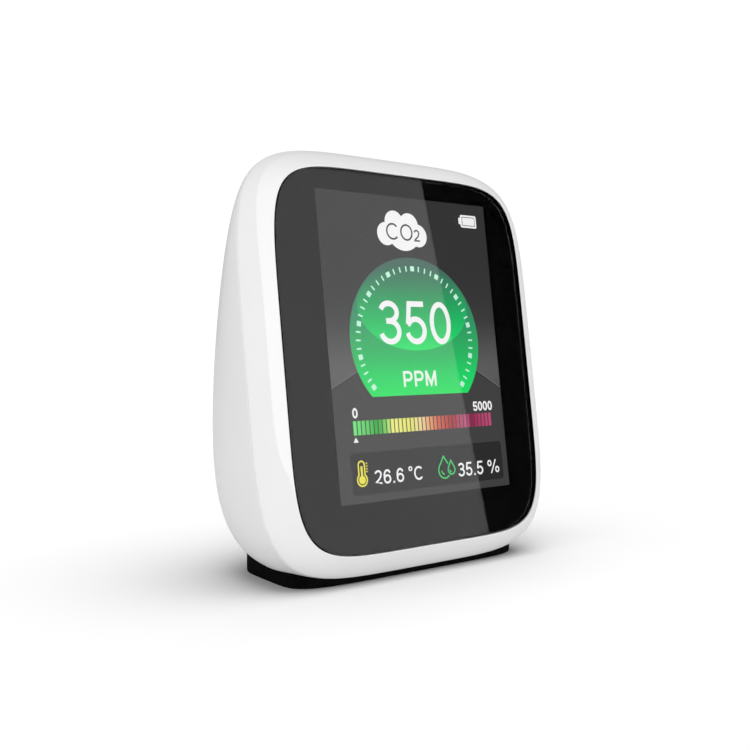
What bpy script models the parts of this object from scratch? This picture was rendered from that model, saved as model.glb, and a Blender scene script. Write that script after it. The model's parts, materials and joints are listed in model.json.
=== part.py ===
"""Desk air quality monitor: a rounded, leaning case with a display, sensors, a battery and a side button.

Everything in the case is laid out in the face frame, whose origin is the middle of the cover glass. Its x
axis points right, its y axis up along the glass and its z axis out of the glass, so a depth behind the glass
is -z. An empty tilts that frame back and stands it over the floor. All sizes below are in millimetres.
"""

import math

import bmesh
import bpy
from mathutils import Vector

MM = 0.001
TILT = math.radians(7.83)
SEGMENTS = 48

# Gaps that touching pieces keep, and how far cutters and joined shapes run past the surface they meet.
SEAT_GAP = 0.05
OVERLAP = 1.0
BEYOND = 12.0
ARC_GAP = 0.01

# Case outline. The front ring runs from the glass edge back to the parting line.
GLASS_HALF = (30.85, 35.5)
GLASS_POWER = 6.4
CASE_HALF = (36.44, 39.75)
CASE_POWER = 5.05
PARTING_DEPTH = 4.0
PARTING_GAP = 0.3
RING_BULGE = 0.5
RING_STEPS = 5

# Rear dome. Its depth falls towards the top, and its rounding changes from the sides to the top and bottom.
DOME_DEPTH = 28.0
DOME_SLOPE = 17.1
DOME_CURVE = 15.0
DOME_CREST = 10.0
CREST_WIDTH = 3
DOME_POWER_SIDE = 2.65
DOME_POWER_TOP = 3.0
DOME_POWER_BOTTOM = 2.95
DOME_STEPS = 13
DOME_INNER_STEPS = 11
DOME_SPREAD = 0.8
WALL = 2.2
CASE_FLOOR = -39.97

# Front stack, as depths behind the glass face.
GLASS_DEPTHS = (0.0, 1.1)
GLASS_EDGE = 0.25
GASKET_DEPTHS = (1.25, 1.6)
GASKET_INSET = 0.1
GASKET_WINDOW = 0.25
LEDGE_FRONT = 1.8
LEDGE_BACK = 5.0
GLASS_GAP = 0.15
LIP_HALF = (32.1, 35.3)
OPENING_HALF = (23.7, 32.9)
OPENING_CENTRE = (0.4, 0.9)
OPENING_POWER = 60
MODULE_SIZE = (46.4, 63.2)
MODULE_CENTRE = (0.4, 1.7)
PANEL_DEPTHS = (1.3, 2.8)
BACKLIGHT_DEPTHS = (3.0, 4.5)
MODULE_BEVEL = 0.1

# Display ribbon. It leaves the panel's lower edge, turns round the backlight and runs up behind it.
FLEX_WIDTH = 18.0
FLEX_THICKNESS = 0.16
FLEX_DEPTHS = (2.66, 4.75)
FLEX_START = 0.15
FLEX_TURN = 0.5
FLEX_BULGE = 0.75
FLEX_STEPS = 8
CONNECTOR_SIZE = (20.0, 3.6, 1.0)
CONNECTOR_Y = -22.0
CONNECTOR_FRONT = 4.95
CONNECTOR_GAP = 0.3

# Main board.
BOARD_DEPTHS = (6.0, 7.2)
BOARD_HALF_WIDTH = 32.0
BOARD_TAB_HALF_WIDTH = 25.0
BOARD_TOP = 21.2
BOARD_STEP = -20.4
BOARD_BOTTOM = -33.5
BOARD_CORNER = 1.6
BOARD_SCREWS = [(-28.3, 16.6), (28.3, 16.6), (-28.3, -16.6), (28.3, -16.6)]
BOARD_HOLE_RADIUS = 1.1
BOARD_BOSS_RADIUS = 2.3

# Gas sensor. It stands on two headers behind the main board, and its chamber has a filter let into its back.
SENSOR_Y = 8.6
HEADER_SIZE = (2.4, 14.0, 1.5)
HEADER_X = 14.4
SENSOR_BOARD_SIZE = (33.0, 19.6, 1.0)
CHAMBER_SIZE = (31.0, 17.0, 5.6)
CHAMBER_BEVEL = 1.0
FILTER_X = 6.0
FILTER_SIZE = (12.4, 8.4, 0.9)
POCKET_SIZE = (13.0, 9.0, 1.0)

# Battery, taped to the back of the main board. Each wire runs from the plug to the cell along one route.
BATTERY_Y = -19.2
TAPE_SIZE = (40.0, 24.0, 0.35)
CELL_SIZE = (48.0, 30.0, 8.0)
CELL_BEVEL = 1.2
BATTERY_SOCKET_SIZE = (6.0, 4.6, 3.2)
BATTERY_SOCKET_CENTRE = (-24.2, 7.0)
BATTERY_PLUG_SIZE = (5.0, 2.6, 2.4)
BATTERY_PLUG_CENTRE = (-24.2, 3.2)
BATTERY_PLUG_FRONT = 7.7
WIRE_RADIUS = 0.5
WIRE_ENDS = {"red": (-23.5, -21.4), "black": (-25.1, -22.9)}
WIRE_ROUTE = [
    (1.6, 8.9), (0.9, 8.9), (0.0, 9.05), (-0.9, 9.5), (-1.7, 10.2), (-2.3, 10.9), (-2.9, 11.4), (-3.8, 11.5),
]

# Screws that hold the rear cover on, in wells that open at the back.
CASE_SCREWS = [(-28.0, 24.5), (28.0, 24.5), (-28.0, -24.5), (28.0, -24.5)]
WELL_RADIUS = 2.7
WELL_BORE = 1.9
WELL_FRONT = 5.3
WELL_SEAT = 8.0
SHANK_BORE = 1.0
THREAD_DEPTH = 2.4
SCREW_HEAD = (1.6, 1.0)
SCREW_SHANK = 0.75
BOARD_SCREW_LENGTH = 4.2
CASE_SCREW_LENGTH = 5.2
SCREW_STEPS = 12

# Side button and charging socket, both in the right wall.
BUTTON_CENTRE = (8.0, 10.2)
BUTTON_SIZE = (7.6, 3.6)
BUTTON_TRAVEL = 0.4
BUTTON_FLANGE = (9.2, 4.8)
BUTTON_FLANGE_X = (31.3, 31.9)
BUTTON_TOP_X = 36.95
BUTTON_EDGE = 0.35
BUTTON_CLEARANCE = 0.25
SWITCH_X = (26.2, 29.9)
SWITCH_WIDTH = 6.0
SWITCH_RISE = 1.8
SWITCH_BEVEL = 0.15
PLUNGER_SIZE = (2.5, 1.1)
PLUNGER_CORNER = 0.15
PLUNGER_REACH = 1.0
PLUNGER_CLEARANCE = 0.25
SOCKET_CENTRE = (-8.0, 8.85)
SOCKET_SIZE = (8.9, 3.2)
SOCKET_CLEARANCE = 0.35
SOCKET_X = (28.6, 35.7)
SOCKET_WALL = 0.3
SOCKET_FLOOR = 1.2
TONGUE_SIZE = (6.2, 0.7)
TONGUE_INSET = 0.6

# Vents in the back.
VENT_COUNT = 6
VENT_PITCH = 3.2
VENT_SIZE = (28.0, 1.5)
VENT_LOWEST = -1.0
VENT_FRONT = 16.0
MESH_MARGIN = 1.8
MESH_OFFSET = 0.9
MESH_THICKNESS = 0.4
MESH_CELLS = 8

# Base pad: a rubber block whose top follows the belly of the case and whose sides narrow towards the back.
PAD_HALF = (29.0, 12.35)
PAD_POWER = 5.5
PAD_TAPER = 0.1
PAD_CENTRE_Y = 11.05
PAD_BELOW = 0.95
PAD_TALLEST = 8.0
PAD_EDGE = 0.4
PAD_GAP = 0.25

MATERIALS = {
    "case_white": ((0.86, 0.86, 0.85), 0.42, 0.0),
    "glass_black": ((0.012, 0.012, 0.013), 0.06, 0.0),
    "adhesive_black": ((0.02, 0.02, 0.02), 0.8, 0.0),
    "panel_dark": ((0.05, 0.055, 0.06), 0.2, 0.0),
    "frame_steel": ((0.6, 0.6, 0.61), 0.35, 1.0),
    "flex_amber": ((0.62, 0.33, 0.08), 0.4, 0.0),
    "board_green": ((0.02, 0.16, 0.08), 0.45, 0.0),
    "chip_black": ((0.02, 0.02, 0.022), 0.5, 0.0),
    "connector_ivory": ((0.78, 0.74, 0.62), 0.5, 0.0),
    "socket_steel": ((0.62, 0.62, 0.63), 0.28, 1.0),
    "sensor_gold": ((0.83, 0.62, 0.28), 0.3, 1.0),
    "filter_white": ((0.9, 0.9, 0.88), 0.9, 0.0),
    "battery_silver": ((0.66, 0.67, 0.69), 0.38, 0.9),
    "wire_red": ((0.6, 0.02, 0.02), 0.4, 0.0),
    "wire_black": ((0.015, 0.015, 0.015), 0.4, 0.0),
    "screw_steel": ((0.55, 0.55, 0.56), 0.3, 1.0),
    "rubber_black": ((0.01, 0.01, 0.01), 0.75, 0.0),
    "button_grey": ((0.8, 0.8, 0.79), 0.4, 0.0),
}


def clear_scene():
    for obj in list(bpy.data.objects):
        bpy.data.objects.remove(obj, do_unlink=True)


def make_collection(name, hidden=False):
    collection = bpy.data.collections.new(name)
    collection.hide_render = hidden
    bpy.context.scene.collection.children.link(collection)
    return collection


def make_material(name):
    colour, roughness, metallic = MATERIALS[name]
    material = bpy.data.materials.new(name)
    material.use_nodes = True
    shader = material.node_tree.nodes["Principled BSDF"]
    shader.inputs["Base Color"].default_value = (*colour, 1.0)
    shader.inputs["Roughness"].default_value = roughness
    shader.inputs["Metallic"].default_value = metallic
    material.diffuse_color = (*colour, 1.0)
    return material


# ---------------------------------------------------------------- outlines and surfaces


def superellipse(half, power, angle):
    """A point of the rounded outline with these half sizes."""
    c, s = math.cos(angle), math.sin(angle)
    x = math.copysign(abs(c) ** (2 / power), c) * half[0]
    y = math.copysign(abs(s) ** (2 / power), s) * half[1]
    return x, y


def angles(count=SEGMENTS):
    return [2 * math.pi * (i + 0.5) / count for i in range(count)]


def outline(half, power, depth, centre=(0.0, 0.0), count=SEGMENTS):
    """A closed ring of points at one depth behind the glass."""
    points = [superellipse(half, power, angle) for angle in angles(count)]
    return [Vector((centre[0] + x, centre[1] + y, -depth)) for x, y in points]


def mix(a, b, t):
    return a + (b - a) * t


def to_upright(point):
    """Face frame to an upright frame with the same origin."""
    c, s = math.cos(TILT), math.sin(TILT)
    return Vector((point.x, point.y * s - point.z * c, point.y * c + point.z * s))


def to_face(point):
    c, s = math.cos(TILT), math.sin(TILT)
    return Vector((point.x, point.z * c + point.y * s, point.z * s - point.y * c))


def above_floor(point, floor):
    upright = to_upright(point)
    upright.z = max(upright.z, floor)
    return to_face(upright)


def ring_section(t, grow=0.0):
    """The front ring's outer outline, from the glass edge (0) to the parting line (1)."""
    w = t + RING_BULGE * t * (1 - t)
    half = [mix(GLASS_HALF[i] + GLASS_GAP, CASE_HALF[i], w) + grow for i in range(2)]
    return outline(half, mix(GLASS_POWER, CASE_POWER, w), PARTING_DEPTH * t)


def dome_point(angle, turn, inset):
    """A point of the rear dome. Turn runs from 0 at the parting line to a quarter circle at its deepest."""
    up = max(math.sin(angle), 0.0)
    down = max(-math.sin(angle), 0.0)
    crest = up**CREST_WIDTH
    power = mix(mix(DOME_POWER_SIDE, DOME_POWER_TOP, crest), DOME_POWER_BOTTOM, down * down)
    shrink = max(math.cos(turn), 0.0) ** (2 / power)
    rise = math.sin(turn) ** (2 / power)
    x, y = superellipse((CASE_HALF[0] - inset, CASE_HALF[1] - inset), CASE_POWER, angle)
    v = y * shrink / (CASE_HALF[1] - inset)
    depth = DOME_DEPTH - inset - DOME_SLOPE * v - DOME_CURVE * v * v + DOME_CREST * crest * shrink**2
    start = PARTING_DEPTH + PARTING_GAP / 2
    return Vector((x * shrink, y * shrink, -(start + depth * rise)))


def dome_rings(inset, steps):
    """Rings of the rear dome from the parting line to a single point, cut flat along the case's floor."""
    rings = []
    for step in range(steps):
        turn = 0.5 * math.pi * (step / steps) ** DOME_SPREAD
        ring = [dome_point(angle, turn, inset) for angle in angles()]
        rings.append([above_floor(point, CASE_FLOOR + inset) for point in ring])
    rings.append([dome_point(0.0, math.pi / 2, inset)])
    return rings


def dome_depth(x, y, inset):
    """How deep the dome's inside lies at a place on the face."""
    half = [size - inset for size in CASE_HALF]
    terms = [(abs(value) / size) ** CASE_POWER for value, size in zip((x, y), half)]
    reach = sum(terms) ** (1 / CASE_POWER)
    angle = math.atan2(terms[1] ** 0.5, terms[0] ** 0.5)
    crest = math.sin(angle) ** CREST_WIDTH if y > 0 else 0.0
    down = math.sin(angle) if y < 0 else 0.0
    power = mix(mix(DOME_POWER_SIDE, DOME_POWER_TOP, crest), DOME_POWER_BOTTOM, down * down)
    v = y / half[1]
    depth = DOME_DEPTH - inset - DOME_SLOPE * v - DOME_CURVE * v * v + DOME_CREST * crest * reach**2
    return PARTING_DEPTH + PARTING_GAP / 2 + depth * (1 - reach**power) ** (1 / power)


# ---------------------------------------------------------------- object builders


class Builder:
    """Makes the objects of the part, each in the right collection and under the right parent."""

    def __init__(self):
        self.parts = make_collection("air_quality_monitor")
        self.helpers = make_collection("cutters", hidden=True)
        self.materials = {name: make_material(name) for name in MATERIALS}
        self.face = bpy.data.objects.new("face_frame", None)
        self.parts.objects.link(self.face)
        self.face.rotation_euler = (math.pi / 2 - TILT, 0, 0)

    def add(self, name, bm, material=None, place=(0, 0, 0), parent=True, smooth=True):
        """An object from a bmesh drawn in millimetres. Without a material it is a hidden helper."""
        bmesh.ops.recalc_face_normals(bm, faces=bm.faces)
        bmesh.ops.scale(bm, vec=(MM, MM, MM), verts=bm.verts)
        mesh = bpy.data.meshes.new(name)
        bm.to_mesh(mesh)
        bm.free()
        obj = bpy.data.objects.new(name, mesh)
        obj.location = Vector(place) * MM
        if parent:
            obj.parent = self.face
        if material is None:
            self.helpers.objects.link(obj)
            obj.hide_render = True
            obj.display_type = "WIRE"
            return obj
        self.parts.objects.link(obj)
        mesh.materials.append(self.materials[material])
        if smooth:
            mesh.shade_smooth()
            mesh.set_sharp_from_angle(angle=math.radians(35))
        return obj


def boolean(obj, operation, other):
    modifier = obj.modifiers.new(operation.lower(), "BOOLEAN")
    modifier.operation = operation
    modifier.object = other
    modifier.solver = "EXACT"


def loft(bm, rings, closed=False):
    """Bridges rings of equal length. An open loft ends in caps or points, a closed one in its start."""
    loops = [[bm.verts.new(point) for point in ring] for ring in rings]
    pairs = list(zip(loops, loops[1:]))
    if closed:
        pairs.append((loops[-1], loops[0]))
    for first, second in pairs:
        count = max(len(first), len(second))
        for i in range(count):
            j = (i + 1) % count
            corners = [first[i % len(first)], first[j % len(first)]]
            corners += [second[j % len(second)], second[i % len(second)]]
            bm.faces.new(dict.fromkeys(corners))
    if not closed:
        for loop in (loops[0], loops[-1]):
            if len(loop) > 2:
                bm.faces.new(loop)


def drawn_loft(rings, closed=False):
    bm = bmesh.new()
    loft(bm, rings, closed)
    return bm


def add_box(bm, size, centre, bevel=0.0):
    made = bmesh.ops.create_cube(bm, size=1.0)["verts"]
    bmesh.ops.scale(bm, vec=size, verts=made)
    bmesh.ops.translate(bm, vec=centre, verts=made)
    if bevel:
        edges = list({edge for vert in made for edge in vert.link_edges})
        bmesh.ops.bevel(bm, geom=edges, offset=bevel, segments=2, profile=0.5, affect="EDGES")


def add_cylinder(bm, radius, depths, centre, segments=20):
    """A round bar along the depth axis, between two depths."""
    length = depths[1] - depths[0]
    made = bmesh.ops.create_cone(
        bm, cap_ends=True, segments=segments, radius1=radius, radius2=radius, depth=length
    )["verts"]
    bmesh.ops.translate(bm, vec=(centre[0], centre[1], -(depths[0] + depths[1]) / 2), verts=made)


def rounded_rectangle(size, radius, steps=4):
    """The corner arcs of a rounded rectangle, as one list of points round its middle."""
    points = []
    for sx, sy, start in ((1, 1, 0), (-1, 1, 90), (-1, -1, 180), (1, -1, 270)):
        for step in range(steps + 1):
            angle = math.radians(start + 90 * step / steps)
            x = sx * (size[0] / 2 - radius) + radius * math.cos(angle)
            y = sy * (size[1] / 2 - radius) + radius * math.sin(angle)
            points.append((x, y))
    return points


def bar_outline(size):
    """A rectangle whose short sides are half circles."""
    return rounded_rectangle(size, size[1] / 2 - ARC_GAP)


def box_on_board(builder, name, material, size, centre, front=None, bevel=0.15):
    """A block whose front face lies at a depth, by default just behind the main board."""
    front = BOARD_DEPTHS[1] + SEAT_GAP if front is None else front
    bm = bmesh.new()
    add_box(bm, size, (0, 0, 0), bevel)
    return builder.add(name, bm, material, (centre[0], centre[1], -(front + size[2] / 2)), smooth=False)


# ---------------------------------------------------------------- case


def front_bezel(builder):
    last = 1 - PARTING_GAP / 2 / PARTING_DEPTH
    rings = [ring_section(last * step / RING_STEPS) for step in range(RING_STEPS + 1)]
    back = PARTING_DEPTH - PARTING_GAP / 2
    rings.append(outline(LIP_HALF, CASE_POWER, back))
    rings.append(outline(LIP_HALF, CASE_POWER, LEDGE_BACK))
    rings.append(outline(OPENING_HALF, OPENING_POWER, LEDGE_BACK, OPENING_CENTRE))
    rings.append(outline(OPENING_HALF, OPENING_POWER, LEDGE_FRONT, OPENING_CENTRE))
    pocket = [size + GLASS_GAP for size in GLASS_HALF]
    rings.append(outline(pocket, GLASS_POWER, LEDGE_FRONT))
    bezel = builder.add("front_bezel", drawn_loft(rings, closed=True), "case_white")

    bosses = bmesh.new()
    for centre in BOARD_SCREWS:
        depths = (LEDGE_BACK - OVERLAP, BOARD_DEPTHS[0] - SEAT_GAP)
        add_cylinder(bosses, BOARD_BOSS_RADIUS, depths, centre)
    boolean(bezel, "UNION", builder.add("bezel_bosses", bosses))

    holes = bmesh.new()
    for centre in BOARD_SCREWS + CASE_SCREWS:
        add_cylinder(holes, SHANK_BORE, (THREAD_DEPTH, BOARD_DEPTHS[0] + OVERLAP), centre, SCREW_STEPS)
    boolean(bezel, "DIFFERENCE", builder.add("bezel_screw_holes", holes))


def side_bar(points, centre, x_range):
    """A straight bar along x. Its outline and centre are along the face and in depth."""
    return drawn_loft([[Vector((x, centre[0] + y, -(centre[1] + z))) for y, z in points] for x in x_range])


def rear_cover(builder):
    outer = dome_rings(0.0, DOME_STEPS)
    inner = dome_rings(WALL, DOME_INNER_STEPS)
    cover = builder.add("rear_cover", drawn_loft(list(reversed(inner)) + outer), "case_white")

    wells = bmesh.new()
    for centre in CASE_SCREWS:
        add_cylinder(wells, WELL_RADIUS, (WELL_FRONT, DOME_DEPTH + BEYOND), centre)
    wells = builder.add("cover_wells", wells)
    core = builder.add("cover_core", drawn_loft(dome_rings(WALL / 2, DOME_STEPS)))
    boolean(wells, "INTERSECT", core)
    boolean(cover, "UNION", wells)

    bores = bmesh.new()
    for centre in CASE_SCREWS:
        add_cylinder(bores, WELL_BORE, (WELL_SEAT, DOME_DEPTH + BEYOND), centre)
    boolean(cover, "DIFFERENCE", builder.add("cover_bores", bores))
    shanks = bmesh.new()
    for centre in CASE_SCREWS:
        add_cylinder(shanks, SHANK_BORE, (WELL_FRONT - OVERLAP, WELL_SEAT + OVERLAP), centre, SCREW_STEPS)
    boolean(cover, "DIFFERENCE", builder.add("cover_shank_holes", shanks))

    vents = bmesh.new()
    for row in range(VENT_COUNT):
        shape = bar_outline(VENT_SIZE)
        y0 = VENT_LOWEST + row * VENT_PITCH
        depths = (VENT_FRONT, DOME_DEPTH + BEYOND)
        loft(vents, [[Vector((x, y0 + y, -depth)) for x, y in shape] for depth in depths])
    boolean(cover, "DIFFERENCE", builder.add("cover_vents", vents))

    through_wall = (BOARD_HALF_WIDTH, CASE_HALF[0] + OVERLAP)
    hole = bar_outline([size + 2 * BUTTON_CLEARANCE for size in BUTTON_SIZE])
    slot = side_bar(hole, BUTTON_CENTRE, through_wall)
    boolean(cover, "DIFFERENCE", builder.add("cover_button_hole", slot))
    hole = bar_outline([size + 2 * SOCKET_CLEARANCE for size in SOCKET_SIZE])
    slot = side_bar(hole, SOCKET_CENTRE, through_wall)
    boolean(cover, "DIFFERENCE", builder.add("cover_socket_hole", slot))


def pad_ring(grow, height):
    """The base pad's outline at a height over the case floor, in the face frame."""
    ring = []
    for angle in angles():
        x, y = superellipse([size + grow for size in PAD_HALF], PAD_POWER, angle)
        x *= 1 - PAD_TAPER * (y + PAD_HALF[1]) / PAD_HALF[0]
        ring.append(to_face(Vector((x, PAD_CENTRE_Y + y, CASE_FLOOR + height))))
    return ring


def base_pad(builder):
    rings = [pad_ring(-PAD_EDGE, -PAD_BELOW), pad_ring(0.0, PAD_EDGE - PAD_BELOW)]
    rings.append(pad_ring(0.0, PAD_TALLEST))
    pad = builder.add("base_pad", drawn_loft(rings), "rubber_black")
    envelope = [ring_section(step / RING_STEPS, PAD_GAP) for step in range(RING_STEPS)]
    envelope += dome_rings(-PAD_GAP, DOME_STEPS)
    boolean(pad, "DIFFERENCE", builder.add("pad_belly", drawn_loft(envelope)))


def dust_mesh(builder):
    """A fabric screen that follows the inside of the back behind the vents."""
    bottom = VENT_LOWEST - VENT_SIZE[1] / 2 - MESH_MARGIN
    top = VENT_LOWEST + (VENT_COUNT - 1) * VENT_PITCH + VENT_SIZE[1] / 2 + MESH_MARGIN
    half_width = VENT_SIZE[0] / 2 + MESH_MARGIN
    steps = [step / MESH_CELLS for step in range(MESH_CELLS + 1)]
    xs = [mix(-half_width, half_width, step) for step in steps]
    bm = bmesh.new()
    rows = []
    for step in steps:
        y = mix(bottom, top, step)
        rows.append([bm.verts.new((x, y, MESH_OFFSET - dome_depth(x, y, WALL))) for x in xs])
    for below, above in zip(rows, rows[1:]):
        for i in range(MESH_CELLS):
            bm.faces.new((below[i], below[i + 1], above[i + 1], above[i]))
    mesh = builder.add("dust_mesh", bm, "filter_white")
    solid = mesh.modifiers.new("thickness", "SOLIDIFY")
    solid.thickness = MESH_THICKNESS * MM
    solid.offset = 1.0 if mesh.data.polygons[0].normal.z > 0 else -1.0


# ---------------------------------------------------------------- display


def display(builder):
    inset = [size - GLASS_EDGE for size in GLASS_HALF]
    front, back = GLASS_DEPTHS
    rings = [
        outline(inset, GLASS_POWER, front),
        outline(GLASS_HALF, GLASS_POWER, front + GLASS_EDGE),
        outline(GLASS_HALF, GLASS_POWER, back),
    ]
    builder.add("cover_glass", drawn_loft(rings), "glass_black")

    edge = [size - GASKET_INSET for size in GLASS_HALF]
    opening = [size + GASKET_WINDOW for size in OPENING_HALF]
    near, far = GASKET_DEPTHS
    rings = [
        outline(edge, GLASS_POWER, near),
        outline(edge, GLASS_POWER, far),
        outline(opening, OPENING_POWER, far, OPENING_CENTRE),
        outline(opening, OPENING_POWER, near, OPENING_CENTRE),
    ]
    builder.add("glass_gasket", drawn_loft(rings, closed=True), "adhesive_black", smooth=False)

    layers = (("lcd_panel", "panel_dark", PANEL_DEPTHS), ("lcd_backlight", "frame_steel", BACKLIGHT_DEPTHS))
    for name, material, (near, far) in layers:
        size = (*MODULE_SIZE, far - near)
        box_on_board(builder, name, material, size, MODULE_CENTRE, near, MODULE_BEVEL)

    centre = (MODULE_CENTRE[0], CONNECTOR_Y)
    box_on_board(builder, "display_connector", "connector_ivory", CONNECTOR_SIZE, centre, CONNECTOR_FRONT)
    lower_edge = MODULE_CENTRE[1] - MODULE_SIZE[1] / 2
    flex_ribbon(builder, lower_edge, CONNECTOR_Y - CONNECTOR_SIZE[1] / 2 - CONNECTOR_GAP)


def flex_ribbon(builder, start_y, end_y):
    """The display's ribbon: a flat strip along a path that turns back on itself."""
    near, far = FLEX_DEPTHS
    path = [(start_y - FLEX_START, near)]
    for step in range(FLEX_STEPS + 1):
        angle = math.pi * step / FLEX_STEPS
        y = start_y - FLEX_TURN - FLEX_BULGE * math.sin(angle)
        path.append((y, mix(near, far, (1 - math.cos(angle)) / 2)))
    path.append((end_y, far))
    rings = []
    for i, (y, depth) in enumerate(path):
        before = Vector(path[max(i - 1, 0)])
        after = Vector(path[min(i + 1, len(path) - 1)])
        along = (after - before).normalized()
        side = Vector((-along.y, along.x)) * FLEX_THICKNESS / 2
        corners = []
        for sx, sign in ((-1, 1), (1, 1), (1, -1), (-1, -1)):
            x = MODULE_CENTRE[0] + sx * FLEX_WIDTH / 2
            corners.append(Vector((x, y + sign * side.x, -(depth + sign * side.y))))
        rings.append(corners)
    builder.add("lcd_flex", drawn_loft(rings), "flex_amber")


# ---------------------------------------------------------------- main board and what is on it


def main_board(builder):
    right = [
        (BOARD_HALF_WIDTH, BOARD_TOP),
        (BOARD_HALF_WIDTH, BOARD_STEP),
        (BOARD_TAB_HALF_WIDTH, BOARD_STEP),
        (BOARD_TAB_HALF_WIDTH, BOARD_BOTTOM),
    ]
    points = right + [(-x, y) for x, y in reversed(right)]
    rings = [[Vector((x, y, -depth)) for x, y in points] for depth in BOARD_DEPTHS]
    bm = drawn_loft(rings)
    corners = [edge for edge in bm.edges if edge.verts[0].co.z != edge.verts[1].co.z]
    bmesh.ops.bevel(bm, geom=corners, offset=BOARD_CORNER, segments=3, profile=0.5, affect="EDGES")
    board = builder.add("main_board", bm, "board_green", smooth=False)
    holes = bmesh.new()
    for centre in BOARD_SCREWS:
        depths = (BOARD_DEPTHS[0] - OVERLAP, BOARD_DEPTHS[1] + OVERLAP)
        add_cylinder(holes, BOARD_HOLE_RADIUS, depths, centre, SCREW_STEPS)
    boolean(board, "DIFFERENCE", builder.add("board_holes", holes))

    chips = [
        ("microcontroller", (6.0, 6.0, 0.9), (21.6, 9.6)),
        ("memory_chip", (5.2, 6.0, 0.9), (-21.4, 14.6)),
        ("charger_chip", (3.0, 3.0, 0.8), (23.6, 1.6)),
        ("power_inductor", (4.0, 4.0, 2.0), (19.4, -1.2)),
        ("buzzer", (6.8, 7.0, 2.5), (-28.2, -8.4)),
    ]
    for name, size, centre in chips:
        box_on_board(builder, name, "chip_black", size, centre)
    box_on_board(builder, "clock_crystal", "frame_steel", (3.2, 2.5, 0.8), (21.4, 16.6))
    box_on_board(builder, "humidity_sensor", "connector_ivory", (2.5, 2.5, 0.9), (-29.6, 8.4), bevel=0.1)


def co2_sensor(builder):
    for name, x in (("sensor_header_left", -HEADER_X), ("sensor_header_right", HEADER_X)):
        box_on_board(builder, name, "chip_black", HEADER_SIZE, (x, SENSOR_Y))
    centre = (0, SENSOR_Y)
    front = BOARD_DEPTHS[1] + HEADER_SIZE[2] + 2 * SEAT_GAP
    box_on_board(builder, "co2_sensor_board", "board_green", SENSOR_BOARD_SIZE, centre, front)
    front += SENSOR_BOARD_SIZE[2] + SEAT_GAP
    chamber = box_on_board(
        builder, "co2_sensor_chamber", "sensor_gold", CHAMBER_SIZE, centre, front, CHAMBER_BEVEL
    )
    back = front + CHAMBER_SIZE[2]
    width, height, depth = POCKET_SIZE
    pocket = bmesh.new()
    add_box(pocket, (width, height, 2 * depth), (FILTER_X, SENSOR_Y, -back))
    boolean(chamber, "DIFFERENCE", builder.add("filter_pocket", pocket))
    front = back - depth + SEAT_GAP
    box_on_board(builder, "co2_filter", "filter_white", FILTER_SIZE, (FILTER_X, SENSOR_Y), front)


def battery(builder):
    centre = (0, BATTERY_Y)
    box_on_board(builder, "battery_tape", "filter_white", TAPE_SIZE, centre, bevel=0)
    front = BOARD_DEPTHS[1] + TAPE_SIZE[2] + 2 * SEAT_GAP
    box_on_board(builder, "battery_cell", "battery_silver", CELL_SIZE, centre, front, CELL_BEVEL)
    box_on_board(builder, "battery_socket", "connector_ivory", BATTERY_SOCKET_SIZE, BATTERY_SOCKET_CENTRE)
    box_on_board(
        builder, "battery_plug", "connector_ivory", BATTERY_PLUG_SIZE, BATTERY_PLUG_CENTRE, BATTERY_PLUG_FRONT
    )
    for colour, ends in WIRE_ENDS.items():
        battery_wire(builder, colour, ends)


def battery_wire(builder, colour, ends):
    """An insulated wire along the shared route, from its place at the plug to its place at the cell."""
    name = f"battery_wire_{colour}"
    curve = bpy.data.curves.new(name, "CURVE")
    curve.dimensions = "3D"
    curve.bevel_depth = WIRE_RADIUS * MM
    curve.bevel_resolution = 2
    curve.use_fill_caps = True
    spline = curve.splines.new("POLY")
    last = len(WIRE_ROUTE) - 1
    spline.points.add(last)
    for i, (y, depth) in enumerate(WIRE_ROUTE):
        position = Vector((mix(*ends, i / last), y, -depth)) * MM
        spline.points[i].co = (*position, 1.0)
    curve.materials.append(builder.materials[f"wire_{colour}"])
    wire = bpy.data.objects.new(name, curve)
    wire.parent = builder.face
    builder.parts.objects.link(wire)


def usb_socket(builder):
    """A steel shell round a tongue, both on one floor."""
    back, front = SOCKET_X
    shell = side_bar(bar_outline(SOCKET_SIZE), SOCKET_CENTRE, SOCKET_X)
    shell = builder.add("usb_socket", shell, "socket_steel")
    mouth = bar_outline([size - 2 * SOCKET_WALL for size in SOCKET_SIZE])
    mouth = side_bar(mouth, SOCKET_CENTRE, (back + SOCKET_FLOOR, front + OVERLAP))
    boolean(shell, "DIFFERENCE", builder.add("socket_mouth", mouth))
    tongue = bmesh.new()
    length = front - back - 2 * TONGUE_INSET
    add_box(tongue, (length, *TONGUE_SIZE), ((back + front) / 2, SOCKET_CENTRE[0], -SOCKET_CENTRE[1]))
    boolean(shell, "UNION", builder.add("socket_tongue", tongue))


# ---------------------------------------------------------------- button


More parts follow.
